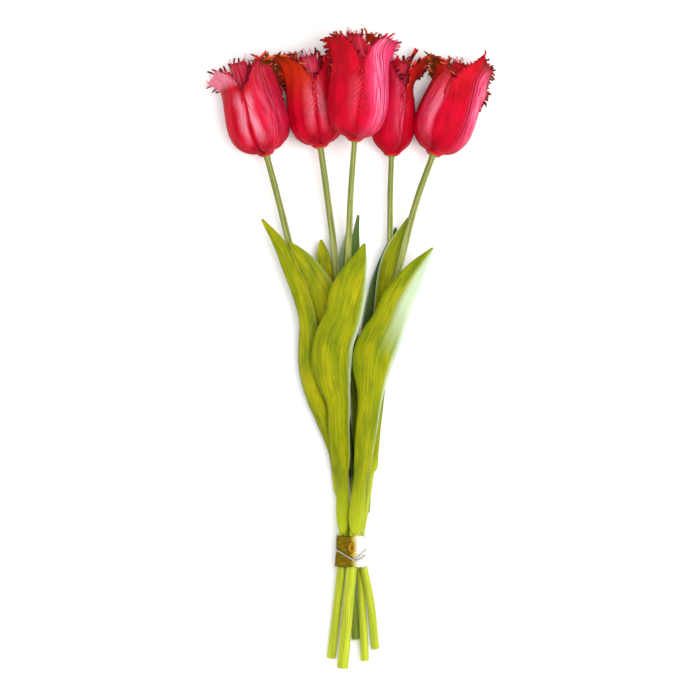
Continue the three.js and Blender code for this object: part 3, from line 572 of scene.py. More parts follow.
def petal_surface(flower, whorl, facing, ends):
    """The mid surface of one petal in its flower's frame, as a function of grids u and v."""
    shape = WHORLS[whorl]
    shoulder, rise, tip, top, turn, half, slant = (ends + [shape["tip"], 0])[:ENDS]
    spread, tall = flower["belly"] / BELLY, flower["height"] / HEIGHT
    fitted = [
        [r, z, w] if i < ROOT_POINTS else [r * spread, z * tall, w * spread]
        for i, (r, z, w) in enumerate(shape["profile"])
    ]
    fitted += [[shoulder, rise, shape["shoulder"] * spread], [tip, top, half]]
    line = Route(fitted)
    outward = math.copysign(1, shape["opening"])
    swell = 0 if whorl == "outer" else INNER_SWELL
    reach, top_reach, low_reach, lap = 0, 0, 0, 0
    if whorl == "outer":
        reach, top_reach, low_reach, lap = MARGIN_REACH, TOP_REACH, LOW_REACH, MARGIN_LAP

    def surface(u, v):
        r, z, w = np.moveaxis(line.at(u), -1, 0)
        opened = smooth_step(u, OPEN_START, 1)
        joined = hump(u, *JOINED_ZONE)
        upper = hump(u, *TOP_ZONE)
        lower = hump(u, *LOW_ZONE)
        w = w * (1 + reach * joined + top_reach * upper + low_reach * lower)
        w = w * (1 - flower["claw"] * fall(u, *CLAW_ZONE))
        w = w * (1 + ROOT_REACH * fall(u, *ROOT_ZONE))
        curvature = (1 - shape["opening"] * opened) / r
        angle = v * w * curvature
        start = np.where(v > 0, RUFFLE_START[1], RUFFLE_START[-1])
        wave = (1 + np.sin(2 * math.pi * RUFFLE_TURNS * u + start + facing)) / 2
        crease = MIDRIB_DEPTH * np.exp(-((v * w / MIDRIB_WIDTH) ** 2)) * np.minimum(1, u / MIDRIB_FADE)
        away = r - (1 - np.cos(angle)) / curvature - crease
        away = away + outward * RUFFLE * opened * v * v * wave + lap * joined * v ** 3
        away = away + swell * smooth_step(u, *SWELL_ZONE) * (1 - v * v)
        away = away - ROOT_HUG * fall(u, *ROOT_HUG_ZONE)
        side = np.sin(angle) / curvature
        direction = np.radians(facing + turn * opened ** 2)
        widened = mix(1, flower["wide"], smooth_step(u, 0, WIDE_FROM))
        return np.stack([
            widened * (away * np.sin(direction) + side * np.cos(direction)),
            -away * np.cos(direction) + side * np.sin(direction),
            z - slant * opened * v,
        ], -1)

    return surface, line


def jagged(places, spacing, draw):
    """Heights from 0 to 1 of a row of uneven pointed teeth, at places along an edge."""
    peaks = []
    at = places[0] + spacing * draw.uniform(0.2, 0.8)
    while at < places[-1]:
        peaks.append([at, draw.uniform(*TOOTH_HEIGHTS), spacing * draw.uniform(*TOOTH_HALVES)])
        at += spacing * draw.uniform(*TOOTH_STEPS)
    at, height, half = np.array(peaks).T
    return np.max(height * np.clip(1 - np.abs(places[:, None] - at) / half, 0, 1), axis=1)


def hairs(roots, directions, bends, curls, normals, lengths, widths):
    """Points of blunt hairs, as a grid of hair, ring and side, and their faces.

    bends grow with the square of the way along a hair, and curls with its cube.
    """
    t = np.linspace(0, 1, HAIR_RINGS)[None, :, None]
    reach = lengths[:, None, None]
    bent = t * t * bends[:, None] + t ** 3 * curls[:, None]
    centres = roots[:, None] + reach * (t * directions[:, None] + bent)
    heading = unit(directions[:, None] + 2 * t * bends[:, None] + 3 * t * t * curls[:, None])
    wide = unit(np.cross(heading, normals[:, None]))
    flat = np.cross(wide, heading)
    closing, bluntness = HAIR_END
    taper = mix(1, HAIR_TAPER, smooth_step(t, 0, 0.5)) * np.sqrt(1 - closing * t ** bluntness)
    half = widths[:, None, None] * taper
    ring = [half * wide, half * HAIR_FLATNESS * flat, -half * wide, -half * HAIR_FLATNESS * flat]
    points = np.stack([centres + offset for offset in ring], axis=2)
    each = tube_faces(HAIR_RINGS, HAIR_SIDES)
    starts = np.arange(len(roots))[:, None, None] * (HAIR_RINGS * HAIR_SIDES)
    return points, [(starts + faces[None]).reshape(-1, faces.shape[1]) for faces in each]


def above_table(points):
    """Points whose lowest ones are pressed flat on the table instead of reaching below it."""
    low = np.minimum(points[..., 2], PRESSED_FROM)
    pressed = PRESSED_FROM * np.exp((low - PRESSED_FROM) / PRESSED_FROM)
    points[..., 2] = np.where(points[..., 2] < PRESSED_FROM, pressed, points[..., 2])
    return points


def fringe_start(look, side):
    """The share of a petal where its fringe begins, which is higher up along a seam."""
    return look["seam_begins"] if side == look["seam"] else look["begins"]


def hair_places(surface, tip_width, draw, look):
    """Where the hairs grow: u, v, and 1 for those on the tip or 0 for those on a side."""
    edges = []
    for side in (-1, 1):
        u = np.linspace(fringe_start(look, side), 1, MARGIN_SAMPLES)
        run = run_along(surface(u, np.full_like(u, float(side))))
        count = int(run[-1] / HAIR_SPACING * look["thick"])
        even = (np.arange(count) + draw.uniform(0.2, 0.8, count)) / count
        at = np.interp(even * run[-1], run, u)
        edges.append(np.stack([at, np.full_like(at, side), at * 0], -1))
    tip_count = int(2 * tip_width / HAIR_SPACING * TIP_CROWD * look["thick"])
    across = np.linspace(-TIP_REACH, TIP_REACH, tip_count) + draw.uniform(-0.04, 0.04, tip_count)
    edges.append(np.stack([across * 0 + 1, across, across * 0 + 1], -1))
    return np.vstack(edges).T


def petal_hairs(surface, line, draw, look):
    """Hairs like a comb's teeth along both upper margins of a petal and round its tip.

    Besides their points and faces, these are the values that their colours depend on.
    """
    u, v, tip = hair_places(surface, line.at(np.array([1.0]))[0, 2], draw, look)
    count = len(u)
    along, outward, normal = surface_frame(surface, u, v)
    start = np.where(v < 0, fringe_start(look, -1), fringe_start(look, 1))
    fringe = (u - start) / (1 - start)
    sway = HAIR_SWAY * np.sin(17 * u + 3 * v + look["curl"] * 9)
    lean = np.radians(mix(*HAIR_LEAN, fringe) + sway + draw.uniform(-HAIR_STRAY, HAIR_STRAY, count))
    fan = np.radians(v * HAIR_FAN + draw.uniform(-HAIR_STRAY, HAIR_STRAY, count))
    spread = np.where(tip > 0, np.sin(fan), v * np.cos(lean))[:, None]
    onward = np.where(tip > 0, np.cos(fan), np.sin(lean))[:, None]
    lift = draw.uniform(-HAIR_LIFT, HAIR_LIFT, count)[:, None] - look["flare"]
    directions = unit(outward * spread + along * onward + normal * lift)
    drop = draw.uniform(*HAIR_DROP, count)[:, None]
    onwards, outwards = HAIR_BEND
    bends = normal * look["curl"] * drop + along * draw.uniform(-onwards, onwards, count)[:, None]
    bends = bends + outward * (draw.uniform(-outwards, outwards, count) * look["tangle"])[:, None]
    turned = draw.uniform(-HAIR_CURL, HAIR_CURL, count) * look["tangle"]
    curls = unit(np.cross(directions, normal)) * turned[:, None] - directions * HAIR_RECOIL
    lengths = mix(*HAIR_LENGTH, smooth_step(fringe, -0.1, 0.45)) * draw.uniform(*HAIR_VARIETY, count)
    lengths = lengths * look["long"]
    roots = surface(u, v) - directions * HAIR_ROOT_DEPTH
    widths = HAIR_WIDTH * draw.uniform(*HAIR_VARIETY, count)
    points, faces = hairs(roots, directions, bends, curls, normal, lengths, widths)
    ring = np.broadcast_to(np.linspace(0, 1, HAIR_RINGS)[None, :, None], points.shape[:-1])
    half_width = line.at(u)[:, 2]
    strand = draw.uniform(0, 1, count)
    return points, faces, ring, *(each[:, None, None] for each in (u, v * half_width, strand))


# The side on which each petal of a whorl adjoins the seam, where two outer petals meet in front.
SEAMS = dict(outer=[-1, 0, 1], inner=[0, 0, 0])

# How a petal is finished, and where one differs. Of its fringe: where it begins, also on the seam's
# side, how dense and long it is, how far it flares outwards, curls in and is tangled. Then how much of
# each tint it has: fade is a pale rim at the tip, far_side_shade painted shade on the side away from
# the seam, rib the veins on and beside the midrib, warm orange, olive a brown fringe and pale light
# hairs, but not beside the seam, seam_highlight a painted highlight in a pale band beside it, feather
# the slanting veins there, and pink, partly the petal's own colour and partly painted sheen, begins at
# pink_at across the petal.
PLAIN_LOOK = dict(
    begins=0.66, seam_begins=0.82, thick=1.0, long=1.0, flare=0.25, curl=0.1, tangle=0.7, fade=0.0,
    far_side_shade=0.4, rib=0.4, warm=0.1, olive=0.1, seam_highlight=0.0, pink=0.0, pink_at=-3.0, pale=0.0, feather=0.0,
)
LOOKS = {
    "flower_1_petal_outer_1": dict(
        seam_highlight=0.75, pink=0.3, pink_at=-19.0, olive=0.95, warm=0.2, far_side_shade=0.8,
        begins=0.56, thick=1.25, long=1.3, flare=1.2, curl=0.4, tangle=1.8,
    ),
    "flower_1_petal_outer_3": dict(
        seam_highlight=0.7, pale=0.9, olive=0.1, curl=0.2, long=0.9, begins=0.78,
        tangle=1.2, thick=0.9, far_side_shade=0.5, fade=0.75,
    ),
    "flower_1_petal_inner_1": dict(olive=0.7, warm=0.9, long=1.3, tangle=1.5),
    "flower_1_petal_inner_3": dict(
        pink=0.3, pink_at=-16.0, far_side_shade=0.0, long=0.9, begins=0.76, pale=0.8,
    ),
    "flower_2_petal_outer_1": dict(seam_highlight=0.35, feather=1.0, pink=0.1),
    "flower_2_petal_outer_3": dict(
        seam_highlight=0.35, feather=0.8, warm=0.9, olive=0.6, long=1.2,
        thick=1.2, flare=1.1, curl=0.4, tangle=1.8, begins=0.6,
    ),
    "flower_2_petal_inner_2": dict(olive=0.6, warm=1.0, long=1.3, tangle=1.5),
    "flower_2_petal_inner_3": dict(
        pink=0.4, pink_at=-14.0, far_side_shade=0.0, long=1.2, begins=0.76, pale=0.7,
    ),
    "flower_3_petal_outer_1": dict(
        feather=0.35, pink=1.0, pink_at=-19.0, pale=0.3, warm=0.0,
        long=0.85, begins=0.7, seam_begins=0.76, rib=0.6,
    ),
    "flower_3_petal_outer_2": dict(warm=1.0, olive=0.3, long=0.6),
    "flower_3_petal_outer_3": dict(
        seam_highlight=0.1, feather=0.5, olive=0.2, warm=0.1, long=0.75,
        thick=1.1, flare=0.6, tangle=1.0, begins=0.68, seam_begins=0.8,
    ),
    "flower_3_petal_inner_1": dict(warm=1.0, olive=0.3, pale=0.3, tangle=1.2, long=0.6),
    "flower_3_petal_inner_2": dict(warm=0.8, olive=0.3, long=0.6),
    "flower_3_petal_inner_3": dict(
        pink=0.2, pink_at=-14.0, far_side_shade=0.0, long=0.7, begins=0.7, pale=1.0,
    ),
    "flower_4_petal_outer_1": dict(
        long=1.2, thick=1.2, flare=0.6, olive=0.3, tangle=1.8,
        begins=0.6, feather=0.4, warm=0.35, far_side_shade=0.7,
    ),
    "flower_4_petal_outer_3": dict(pink=0.35, pink_at=0.0, feather=0.5, warm=0.0),
    "flower_4_petal_inner_1": dict(long=0.9, tangle=1.5, far_side_shade=1.0, warm=0.2),
    "flower_4_petal_inner_2": dict(long=1.0, tangle=1.2),
    "flower_4_petal_inner_3": dict(
        pink=0.25, pink_at=-16.0, far_side_shade=0.0, long=0.9, tangle=1.5, warm=0.2,
    ),
    "flower_5_petal_outer_1": dict(
        pink=0.95, pink_at=-5.0, olive=0.4, flare=0.9, tangle=1.2,
        long=0.6, begins=0.52, seam_begins=0.86, rib=1.0,
    ),
    "flower_5_petal_outer_3": dict(
        seam_highlight=0.45, pink=0.35, warm=0.6, olive=1.0, long=1.2,
        thick=1.2, flare=0.9, curl=0.3, tangle=1.8, begins=0.6,
    ),
    "flower_5_petal_inner_1": dict(long=1.2, pink=0.5, thick=1.2, tangle=1.2),
    "flower_5_petal_inner_2": dict(long=1.2, olive=0.7, warm=0.6),
    "flower_5_petal_inner_3": dict(begins=0.76, pale=0.6),
}
TINTS = ("warm", "olive", "seam_highlight", "pink", "pink_at", "pale", "feather", "rib", "far_side_shade", "fade")


def petal_rows(look):
    """The rows of a petal's mesh, which are closer together where it has a fringe."""
    below = np.linspace(0, look["begins"], PETAL_SMOOTH_ROWS, endpoint=False)
    return np.concatenate([below, np.linspace(look["begins"], 1, PETAL_FRINGE_ROWS)])


def petal_teeth(surface, rows, v, draw, look):
    """How deep the jagged margin's teeth are at each grid point."""
    depth = {}
    for side in (-1, 1):
        run = run_along(surface(rows, np.full_like(rows, float(side))))
        start = fringe_start(look, side)
        begins = smooth_step(rows, start, start + TOOTH_BEGINS)
        depth[side] = jagged(run, TOOTH_SPACING, draw) * begins
    margin = np.where(v > 0, depth[1][:, None], depth[-1][:, None])
    return TOOTH_DEPTH * margin * smooth_step(np.abs(v), TOOTH_ROOM, 1)


def petal_thickness(u, v):
    """Thinner towards the margins, the root and the tip."""
    thick = mix(PETAL_THICKNESS, PETAL_EDGE_THICKNESS, smooth_step(np.abs(v), 0.55, 1))
    thick = thick * mix(PETAL_ROOT_THICKNESS / PETAL_THICKNESS, 1, np.minimum(1, u / ROOT_SHARE))
    return mix(thick, PETAL_EDGE_THICKNESS, smooth_step(u, 0.85, 1))


def petal_relief(u, v, lateral, facing, whorl):
    """How far inwards the petal lies: fine ribs, soft folds, and outer margins that hug the cup."""
    ribs = RIB_HEIGHT * np.sin(2 * math.pi * lateral / RIB_SPACING + 2 * np.sin(5 * u))
    folds = FOLD_HEIGHT * np.sin(2 * math.pi * lateral / FOLD_SPACING + 3 * u + facing)
    hug = 0.0
    if whorl == "outer":
        hug = MARGIN_HUG * smooth_step(np.abs(v), 0.6, 1) * hump(u, *HUG_ZONE)
    return (ribs + folds * fall(np.abs(v), 0.8, 1)) * smooth_step(u, *RELIEF_ZONE) + hug


def petal(flower, number, whorl, k, place):
    """One petal with its fringe, replacing the CAD petal of the same name."""
    facing = flower["turn"] + WHORLS[whorl]["offset"] + PETAL_STEP * k
    surface, line = petal_surface(flower, whorl, facing, flower[whorl][k])
    name = f"flower_{number}_petal_{whorl}_{k + 1}"
    draw = np.random.default_rng(1000 * number + 10 * k + (whorl == "inner"))
    look = {**PLAIN_LOOK, **LOOKS.get(name, {}), "seam": SEAMS[whorl][k]}
    tints = {tint: look[tint] for tint in TINTS}
    tints["outer_side"] = -look["seam"]
    tints["seed"] = facing + 10 * number

    rows = petal_rows(look)
    u, v = blade_grid(rows, PETAL_COLUMNS)
    width = line.at(u)[..., 2]
    lateral = v * width
    teeth = petal_teeth(surface, rows, v, draw, look)[..., None]
    points, faces, (along, across, normal) = blade(surface, u, v, petal_thickness(u, v))
    outward = np.sign(v)[..., None] * across
    shift = outward * teeth * TOOTH_LEAN[0] + along * teeth * TOOTH_LEAN[1]
    points = points + shift + normal * petal_relief(u, v, lateral, facing, whorl)[..., None]

    run = run_along(line.at(rows)[:, :2])
    seam = width * (1 - look["seam"] * v) if look["seam"] else NO_SEAM
    piece = Piece()
    piece.add(
        above_table(place(points)), faces,
        length=np.interp(u, rows, run), lateral=lateral, seam=seam, strand=1, hair=0,
        tip=smooth_step(u, FRINGE_START - 0.06, 0.95), inside=np.stack([u * 0 + 1, u * 0]),
        edge=np.maximum(smooth_step(np.abs(v), 0.5, 1), smooth_step(u, 0.88, 1)), **tints,
    )
    points, faces, ring, u, lateral, strand = petal_hairs(surface, line, draw, look)
    piece.add(
        above_table(place(points)), faces,
        length=np.interp(u, rows, run), lateral=lateral, seam=NO_SEAM, strand=strand, hair=ring,
        tip=1, inside=0.5, edge=1, **tints,
    )
    piece.build(name, petal_material, "petal", name)


def pistil(number, place):
    """The pale green pistil: a rounded column under a three-lobed stigma."""
    angle = round_angles(PISTIL_SIDES)
    profile = Route(PISTIL_PROFILE).at(np.linspace(0, 1, PISTIL_RINGS))
    radius, height, lobe = (profile[:, i:i + 1] for i in range(3))
    r = radius * (1 + lobe * np.cos(PISTIL_LOBES * angle))
    points = np.stack([r * np.cos(angle), r * np.sin(angle), height + 0 * r], -1)
    piece = Piece()
    piece.add(place(points), tube_faces(*r.shape), length=height + 0 * r)
    name = f"flower_{number}_pistil"
    piece.build(name, pistil_material, "pistil", name)


def stamens(number, place):
    """Six stamens: thin pale filaments under long dark anthers."""
    draw = np.random.default_rng(500 + number)
    away, height, radius = Route(STAMEN_PROFILE).at(np.linspace(0, 1, STAMEN_RINGS)).T
    anther = smooth_step(height, *ANTHER_BEGINS)[:, None]
    piece = Piece()
    for k in range(STAMENS):
        stray = draw.uniform(-STAMEN_STRAY, STAMEN_STRAY)
        angle = math.radians((k + 0.5) * 360 / STAMENS + stray)
        out = np.array([math.cos(angle), math.sin(angle), 0])
        centres = out * away[:, None] + np.array([0, 0, 1]) * height[:, None]
        up = np.broadcast_to(np.array([0.0, 0.0, 1.0]), centres.shape)
        wide = np.broadcast_to(out, centres.shape)
        points = ring_points(centres, up, wide, radius, STAMEN_SIDES)
        piece.add(place(points), tube_faces(STAMEN_RINGS, STAMEN_SIDES), anther=anther)
    name = f"flower_{number}_stamens"
    piece.build(name, stamen_material, "stamen", name)


def flower(number):
    """All of one flower, on top of its stem."""
    spec = {**PLAIN_FLOWER, **FLOWERS[number - 1]}
    line = Route(STEMS[number - 1]["path"])
    axis = line.tangent(1.0)
    back = down_from(axis)
    right = np.cross(back, axis)
    origin = line.at(1.0)

    def place(points):
        return origin + points[..., :1] * right + points[..., 1:2] * back + points[..., 2:] * axis

    for whorl in ("outer", "inner"):
        for k in range(3):
            petal(spec, number, whorl, k, place)
    pistil(number, place)
    stamens(number, place)


# ---- stems and leaves ---------------------------------------------------------------------------

def stem(number):
    """A smooth round stem with a flared top, and a cut end with a rounded rim."""
    spec = STEMS[number - 1]
    line = Route(spec["path"])
    points = np.array(spec["path"], float)
    last_span = np.linalg.norm(points[-1] - points[-2])
    flare = FLARE_LENGTH / last_span / line.spans
    plain = np.linspace(0.002, 1 - flare, STEM_RINGS, endpoint=False)
    u = np.concatenate([CUT_RINGS, plain, np.linspace(1 - flare, 1, FLARE_RINGS)])
    over = np.maximum(0, 1 - (1 - u) / flare)
    radius = mix(mix(*spec["radii"], u), RECEPTACLE_RADIUS, over ** 3)
    radius[:len(CUT_RADII)] = spec["radii"][0] * np.array(CUT_RADII)
    along = line.tangent(u)
    centres = line.at(u)
    centres[:2] += along[:2] * CUT_HOLLOW
    draw = np.random.default_rng(number)
    bumps = sum(
        np.sin(2 * math.pi * (u * draw.integers(3, 12)) + draw.uniform(0, 6)) for _ in range(3)
    )
    radius = radius * (1 + STEM_BUMPS * bumps)
    rings = ring_points(centres, along, down_from(along), radius, STEM_SIDES)
    turn = np.broadcast_to(np.arange(STEM_SIDES) / STEM_SIDES, rings.shape[:-1])
    cut = (np.arange(len(u)) < len(CUT_RADII) - 1)[:, None] * 1.0
    piece = Piece()
    piece.add(
        rings, tube_faces(len(u), STEM_SIDES),
        turn=turn, along=centres[:, 1:2], cut=cut, shade=spec["shade"], seed=number,
    )
    piece.build(f"stem_{number}", stem_material, "stem", f"stem_{number}")


def leaf_surface(spec):
    """The mid surface of a leaf as a function of grids u and v, and its half widths."""
    stem_spec = STEMS[spec["stem"] - 1]
    stem_line = Route(stem_spec["path"])
    places, shapes = [], []
    for u in spec["clasp"]:
        radius = mix(*stem_spec["radii"], u) + LEAF_THICKNESS / 2 + 2 * CLEARANCE
        inward = down_from(stem_line.tangent(u), spec["turn"])
        places.append(list(stem_line.at(u) - inward * radius))
        shapes.append([radius * math.radians(CLASP_BEND), spec["turn"], CLASP_BEND])
    for x, y, z, half, turn, bend in spec["path"]:
        places.append([x, y, z])
        shapes.append([half, turn, bend])
    line, shape = Route(places), Route(shapes)

    def surface(u, v):
        along = line.tangent(u)
        half, turn, bend = np.moveaxis(shape.at(u), -1, 0)
        inward = down_from(along, turn)
        side = np.cross(along, inward)
        radius = (half / np.radians(bend))[..., None]
        angle = (v * np.radians(bend))[..., None]
        return line.at(u) + side * radius * np.sin(angle) + inward * radius * (1 - np.cos(angle))

    return surface, line, shape


def leaf(spec):
    """One leaf with fine lengthwise ribs, a folded midrib, and a thin foot that hugs the stem."""
    surface, line, shape = leaf_surface(spec)
    rows = np.linspace(0, 1, LEAF_ROWS + 1) ** LEAF_ROW_GROWTH
    u, v = blade_grid(rows, LEAF_COLUMNS)
    foot = fall(u, 0, SHEATH_SHARE)
    u = u + SHEATH_CURVE * v * v * foot
    half = shape.at(u)[..., 0]
    thick = mix(LEAF_THICKNESS, LEAF_EDGE_THICKNESS, smooth_step(np.abs(v), 0.6, 1))
    thick = mix(thick, SHEATH_THICKNESS, foot)
    points, faces, (_, _, normal) = blade(surface, u, v, thick)
    lateral = v * half
    calm = smooth_step(half, *LEAF_CALM)
    ribs = LEAF_RIB_HEIGHT * np.cos(2 * math.pi * lateral / LEAF_RIB_SPACING)
    fold = LEAF_FOLD_DEPTH * spec["fold"] * np.exp(-((lateral / LEAF_FOLD_WIDTH) ** 2))
    inward = (ribs + fold) * calm + SHEATH_HUG * foot
    points = points + normal * inward[..., None]
    looks = {name: spec[name] for name in PLAIN_LEAF}
    piece = Piece()
    piece.add(
        points, faces,
        length=np.interp(u, rows, run_along(line.at(rows))), onward=u, lateral=lateral, side=v,
        foot=foot, seed=len(spec["path"]) + 7 * spec["stem"], **looks,
    )
    piece.build(spec["name"], leaf_material, "leaf", spec["name"])


# ---- the tie ------------------------------------------------------------------------------------

BAND_SIDES = 160
BAND_ROWS = 72
TAUT_STEPS = 180
TAUT_FACING = 0.1  # directions with a cosine below this don't bound the outline
TORN_POWER = 6  # the higher, the closer to the band's edges they are ragged
BAND_INNER_ROWS = 6
STRAND_WIDTH = 1.7
STRAND_HEIGHT = 0.5
STRAND_ROUNDNESS = 0.6  # below 1, strands are broad ridges with narrow gaps
STRAND_ROUGHNESS = 0.04
STRAND_SLANT = 1.6
FRAY_COUNT = 46  # loose fibres along the band's two edges
FRAY_RINGS = 5
FRAY_SIDES = 5
FRAY_SHARE = 0.6  # of them that stand out of the edge towards the flowers
FRAY_HEIGHT = 0.7
FRAY_LENGTH = [0.8, 3.2]
FRAY_RADIUS = 0.16
KNOT_PATH = [[-0.6, -144.2, 27.2], [0.8, -148, 27.5], [1.5, -151.6, 27.0]]
KNOT_RADII = [0.6, 2.0, 2.6, 1.9, 2.4, 1.7, 0.6]
KNOT_SIZE = 0.86  # share of those radii, because the coil lies on the lump
KNOT_FLATNESS = 0.5
KNOT_RINGS = 170  # of the lump and of the coil
KNOT_SIDES = 20
COIL_SIDES = 10
COIL_TURNS = 1.8
COIL_REACH = [2.5, 3.8]  # half its width and length
COIL_CORE = 0.36  # its inner end's share of that
COIL_TOP = [0.3, 1.0]  # how far its outer and its inner end lie above the lump's middle
COIL_STRAND = 0.5
WIRE_SIDES = 12
LOOP_RINGS = 320
TWIST_RINGS = 110
WIRE_SECTION = [0.68, 0.42]  # its least radius, and how much more the widest is, as shares
LOOP_TWIST = 16  # turns of the wire's section along the loop
TWIST_TURNS = 2.5  # of the two ends round each other


def stem_sections(y):
    """Where each stem crosses the plane at y, and its radius there, for every y."""
    sections = []
    for spec in STEMS:
        line = Route(spec["path"])
        u = np.linspace(0, 0.4, 400)
        x, along, z = line.at(u).T
        radius = mix(*spec["radii"], u)
        sections.append([np.interp(y, along, values) for values in (x, z, radius)])
    return np.moveaxis(np.array(sections), 0, -1)


def waves(angle, *terms):
    """A sum of waves round the tie, each with its height, number of crests and phase."""
    return sum(height * np.sin(crests * angle + phase) for height, crests, phase in terms)


def taut_outline(angle, y, distance):
    """Points of a taut outline round all the stems: angle, y and distance are grids."""
    x, z, radius = stem_sections(y)
    centre_x, centre_z = x.mean(-1), z.mean(-1)
    directions = round_angles(TAUT_STEPS)
    support = np.full(y.shape + (TAUT_STEPS,), -np.inf)
    for s in range(len(STEMS)):
        across, up = (x[..., s] - centre_x)[..., None], (z[..., s] - centre_z)[..., None]
        reach = across * np.cos(directions) + up * np.sin(directions) + radius[..., s][..., None]
        support = np.maximum(support, reach)
    facing = np.cos(directions - angle[..., None])
    reaches = (support + distance[..., None]) / np.maximum(facing, TAUT_FACING)
    reach = np.where(facing > TAUT_FACING, reaches, np.inf).min(-1)
    return np.stack([centre_x + reach * np.cos(angle), y, centre_z + reach * np.sin(angle)], -1)


def groove_y(angle):
    """The groove's place along the stems: down to a corner on top, towards the cut ends."""
    on_top = np.sin(angle) > 0
    return GROOVE_Y - GROOVE_SLANT * (1 - np.abs(np.cos(angle))) * on_top


def band():
    """The raffia band: side by side strands, pulled in by the wire and pressed flat underneath."""
    draw = np.random.default_rng(77)
    ends = BAND_Y - BAND_WIDTH / 2, BAND_Y + BAND_WIDTH / 2
    angles = round_angles(BAND_SIDES, 0.5)
    angle, across = np.meshgrid(angles, np.linspace(1, 0, BAND_ROWS), indexing="xy")
    wobble = waves(angle, (0.5, 3, 9 * across), (0.3, 7, 4), (0.2, 13, 0))
    y = mix(*ends, across) + wobble * np.sin(math.pi * np.clip(across, 0.08, 0.92))
    torn = waves(angle, (0.5, 5, 2 * across), (0.35, 14, across), (0.25, 31, 0))
    y = y + torn * (2 * across - 1) ** TORN_POWER
    slant = STRAND_SLANT * np.sin(angle + 0.6)
    strand = np.abs(np.sin(math.pi * (y + slant) / STRAND_WIDTH + 0.3 * np.sin(5 * angle)))
    pull = np.exp(-(((y - groove_y(angle)) / GROOVE_TOP) ** 2))
    rough = draw.uniform(-STRAND_ROUGHNESS, STRAND_ROUGHNESS, angle.shape)
    height = BAND_THICKNESS - STRAND_HEIGHT / 2 + STRAND_HEIGHT * strand ** STRAND_ROUNDNESS + rough
    height = mix(height, GROOVE_THICKNESS, pull)
    outer = taut_outline(angle, y, BAND_GAP + height)
    outer[..., 2] = np.where(outer[..., 2] < PRESSED_BELOW, 0, outer[..., 2])
    angle, across = np.meshgrid(angles, np.linspace(0, 1, BAND_INNER_ROWS), indexing="xy")
    inner = taut_outline(angle, mix(*ends, across), BAND_GAP + 0 * angle)
    rings = np.concatenate([outer, inner])
    piece = Piece()
    piece.add(
        rings, [grid_faces(*rings.shape[:2], closed_rows=True, closed_columns=True)],
        around=angles, across=rings[..., 1], east=rings[..., 0], knot=0, bright=0,
    )
    for _ in range(FRAY_COUNT):
        loose_fibre(piece, draw, *ends)
    piece.build("tie_band", raffia_material, "raffia", "tie_band")


def loose_fibre(piece, draw, start, end):
    """One frayed fibre that stands out of an edge of the band, on its upper side."""
    edge, heading = (end, 1) if draw.uniform() < FRAY_SHARE else (start, -1)
    t = np.linspace(0, 1, FRAY_RINGS)
    angle = draw.uniform(-0.1, math.pi + 0.1) + draw.uniform(-0.1, 0.1) * t
    reach = draw.uniform(*FRAY_LENGTH) * draw.uniform(0.5, 1)
    y = edge + heading * np.linspace(-0.8, reach, FRAY_RINGS)
    centres = taut_outline(angle, y, BAND_GAP + FRAY_HEIGHT + draw.uniform(-0.2, 0.5) * t)
    along = unit(np.gradient(centres, axis=0))
    radius = FRAY_RADIUS * np.linspace(1, 0.4, FRAY_RINGS)
    points = ring_points(centres, along, down_from(along), radius, FRAY_SIDES)
    piece.add(
        points, tube_faces(FRAY_RINGS, FRAY_SIDES),
        around=angle[:, None], across=y[:, None], east=centres[:, :1], knot=0, bright=0,
    )


def knot():
    """The knot of the raffia on top of the band: a flat lump with a coil of raffia on it."""
    line = Route(KNOT_PATH)
    u = np.linspace(0, 1, KNOT_RINGS)
    along = line.tangent(u)
    wide = down_from(along, 90)
    up = np.cross(along, wide)
    sizes = KNOT_SIZE * np.interp(u, np.linspace(0, 1, len(KNOT_RADII)), KNOT_RADII)
    angle = round_angles(KNOT_SIDES)
    lump = line.at(u)[:, None] + sizes[:, None, None] * spokes(wide, KNOT_FLATNESS * up, angle)
    phase = 2 * math.pi * COIL_TURNS * u
    reach = np.outer(mix(1, COIL_CORE, u), COIL_REACH)
    coil = [reach[:, 0] * np.cos(phase), reach[:, 1] * np.sin(phase), mix(*COIL_TOP, u)]
    centres = line.at(0.5) + np.stack(coil, -1)
    heading = unit(np.gradient(centres, axis=0))
    ends = np.clip(12 * np.minimum(u, 1 - u), 0.2, 1)
    strand = ring_points(centres, heading, down_from(heading), COIL_STRAND * ends, COIL_SIDES)
    piece = Piece()
    for points, turned, bright in ((lump, angle, 0), (strand, phase[:, None], 1)):
        piece.add(
            points, tube_faces(KNOT_RINGS, points.shape[1]),
            around=turned, across=points[..., 1], east=-2, knot=1, bright=bright,
        )
    piece.build("tie_knot", raffia_material, "raffia", "tie_knot")


def wire_tube(piece, centres, along, first, twist, closed, dull):
    """A tube of wire whose section turns by twist, like two strands laid together."""
    angle = round_angles(WIRE_SIDES)
    least, more = WIRE_SECTION
    radius = WIRE_RADIUS * (least + more * np.abs(np.cos(angle - twist[:, None])))
    up = unit(np.cross(along, first))
    points = centres[:, None] + radius[..., None] * spokes(first, up, angle)
    if closed:
        faces = [grid_faces(*radius.shape, closed_rows=True, closed_columns=True)[:, ::-1]]
    else:
        faces = tube_faces(*radius.shape)
    piece.add(points, faces, dull=dull)


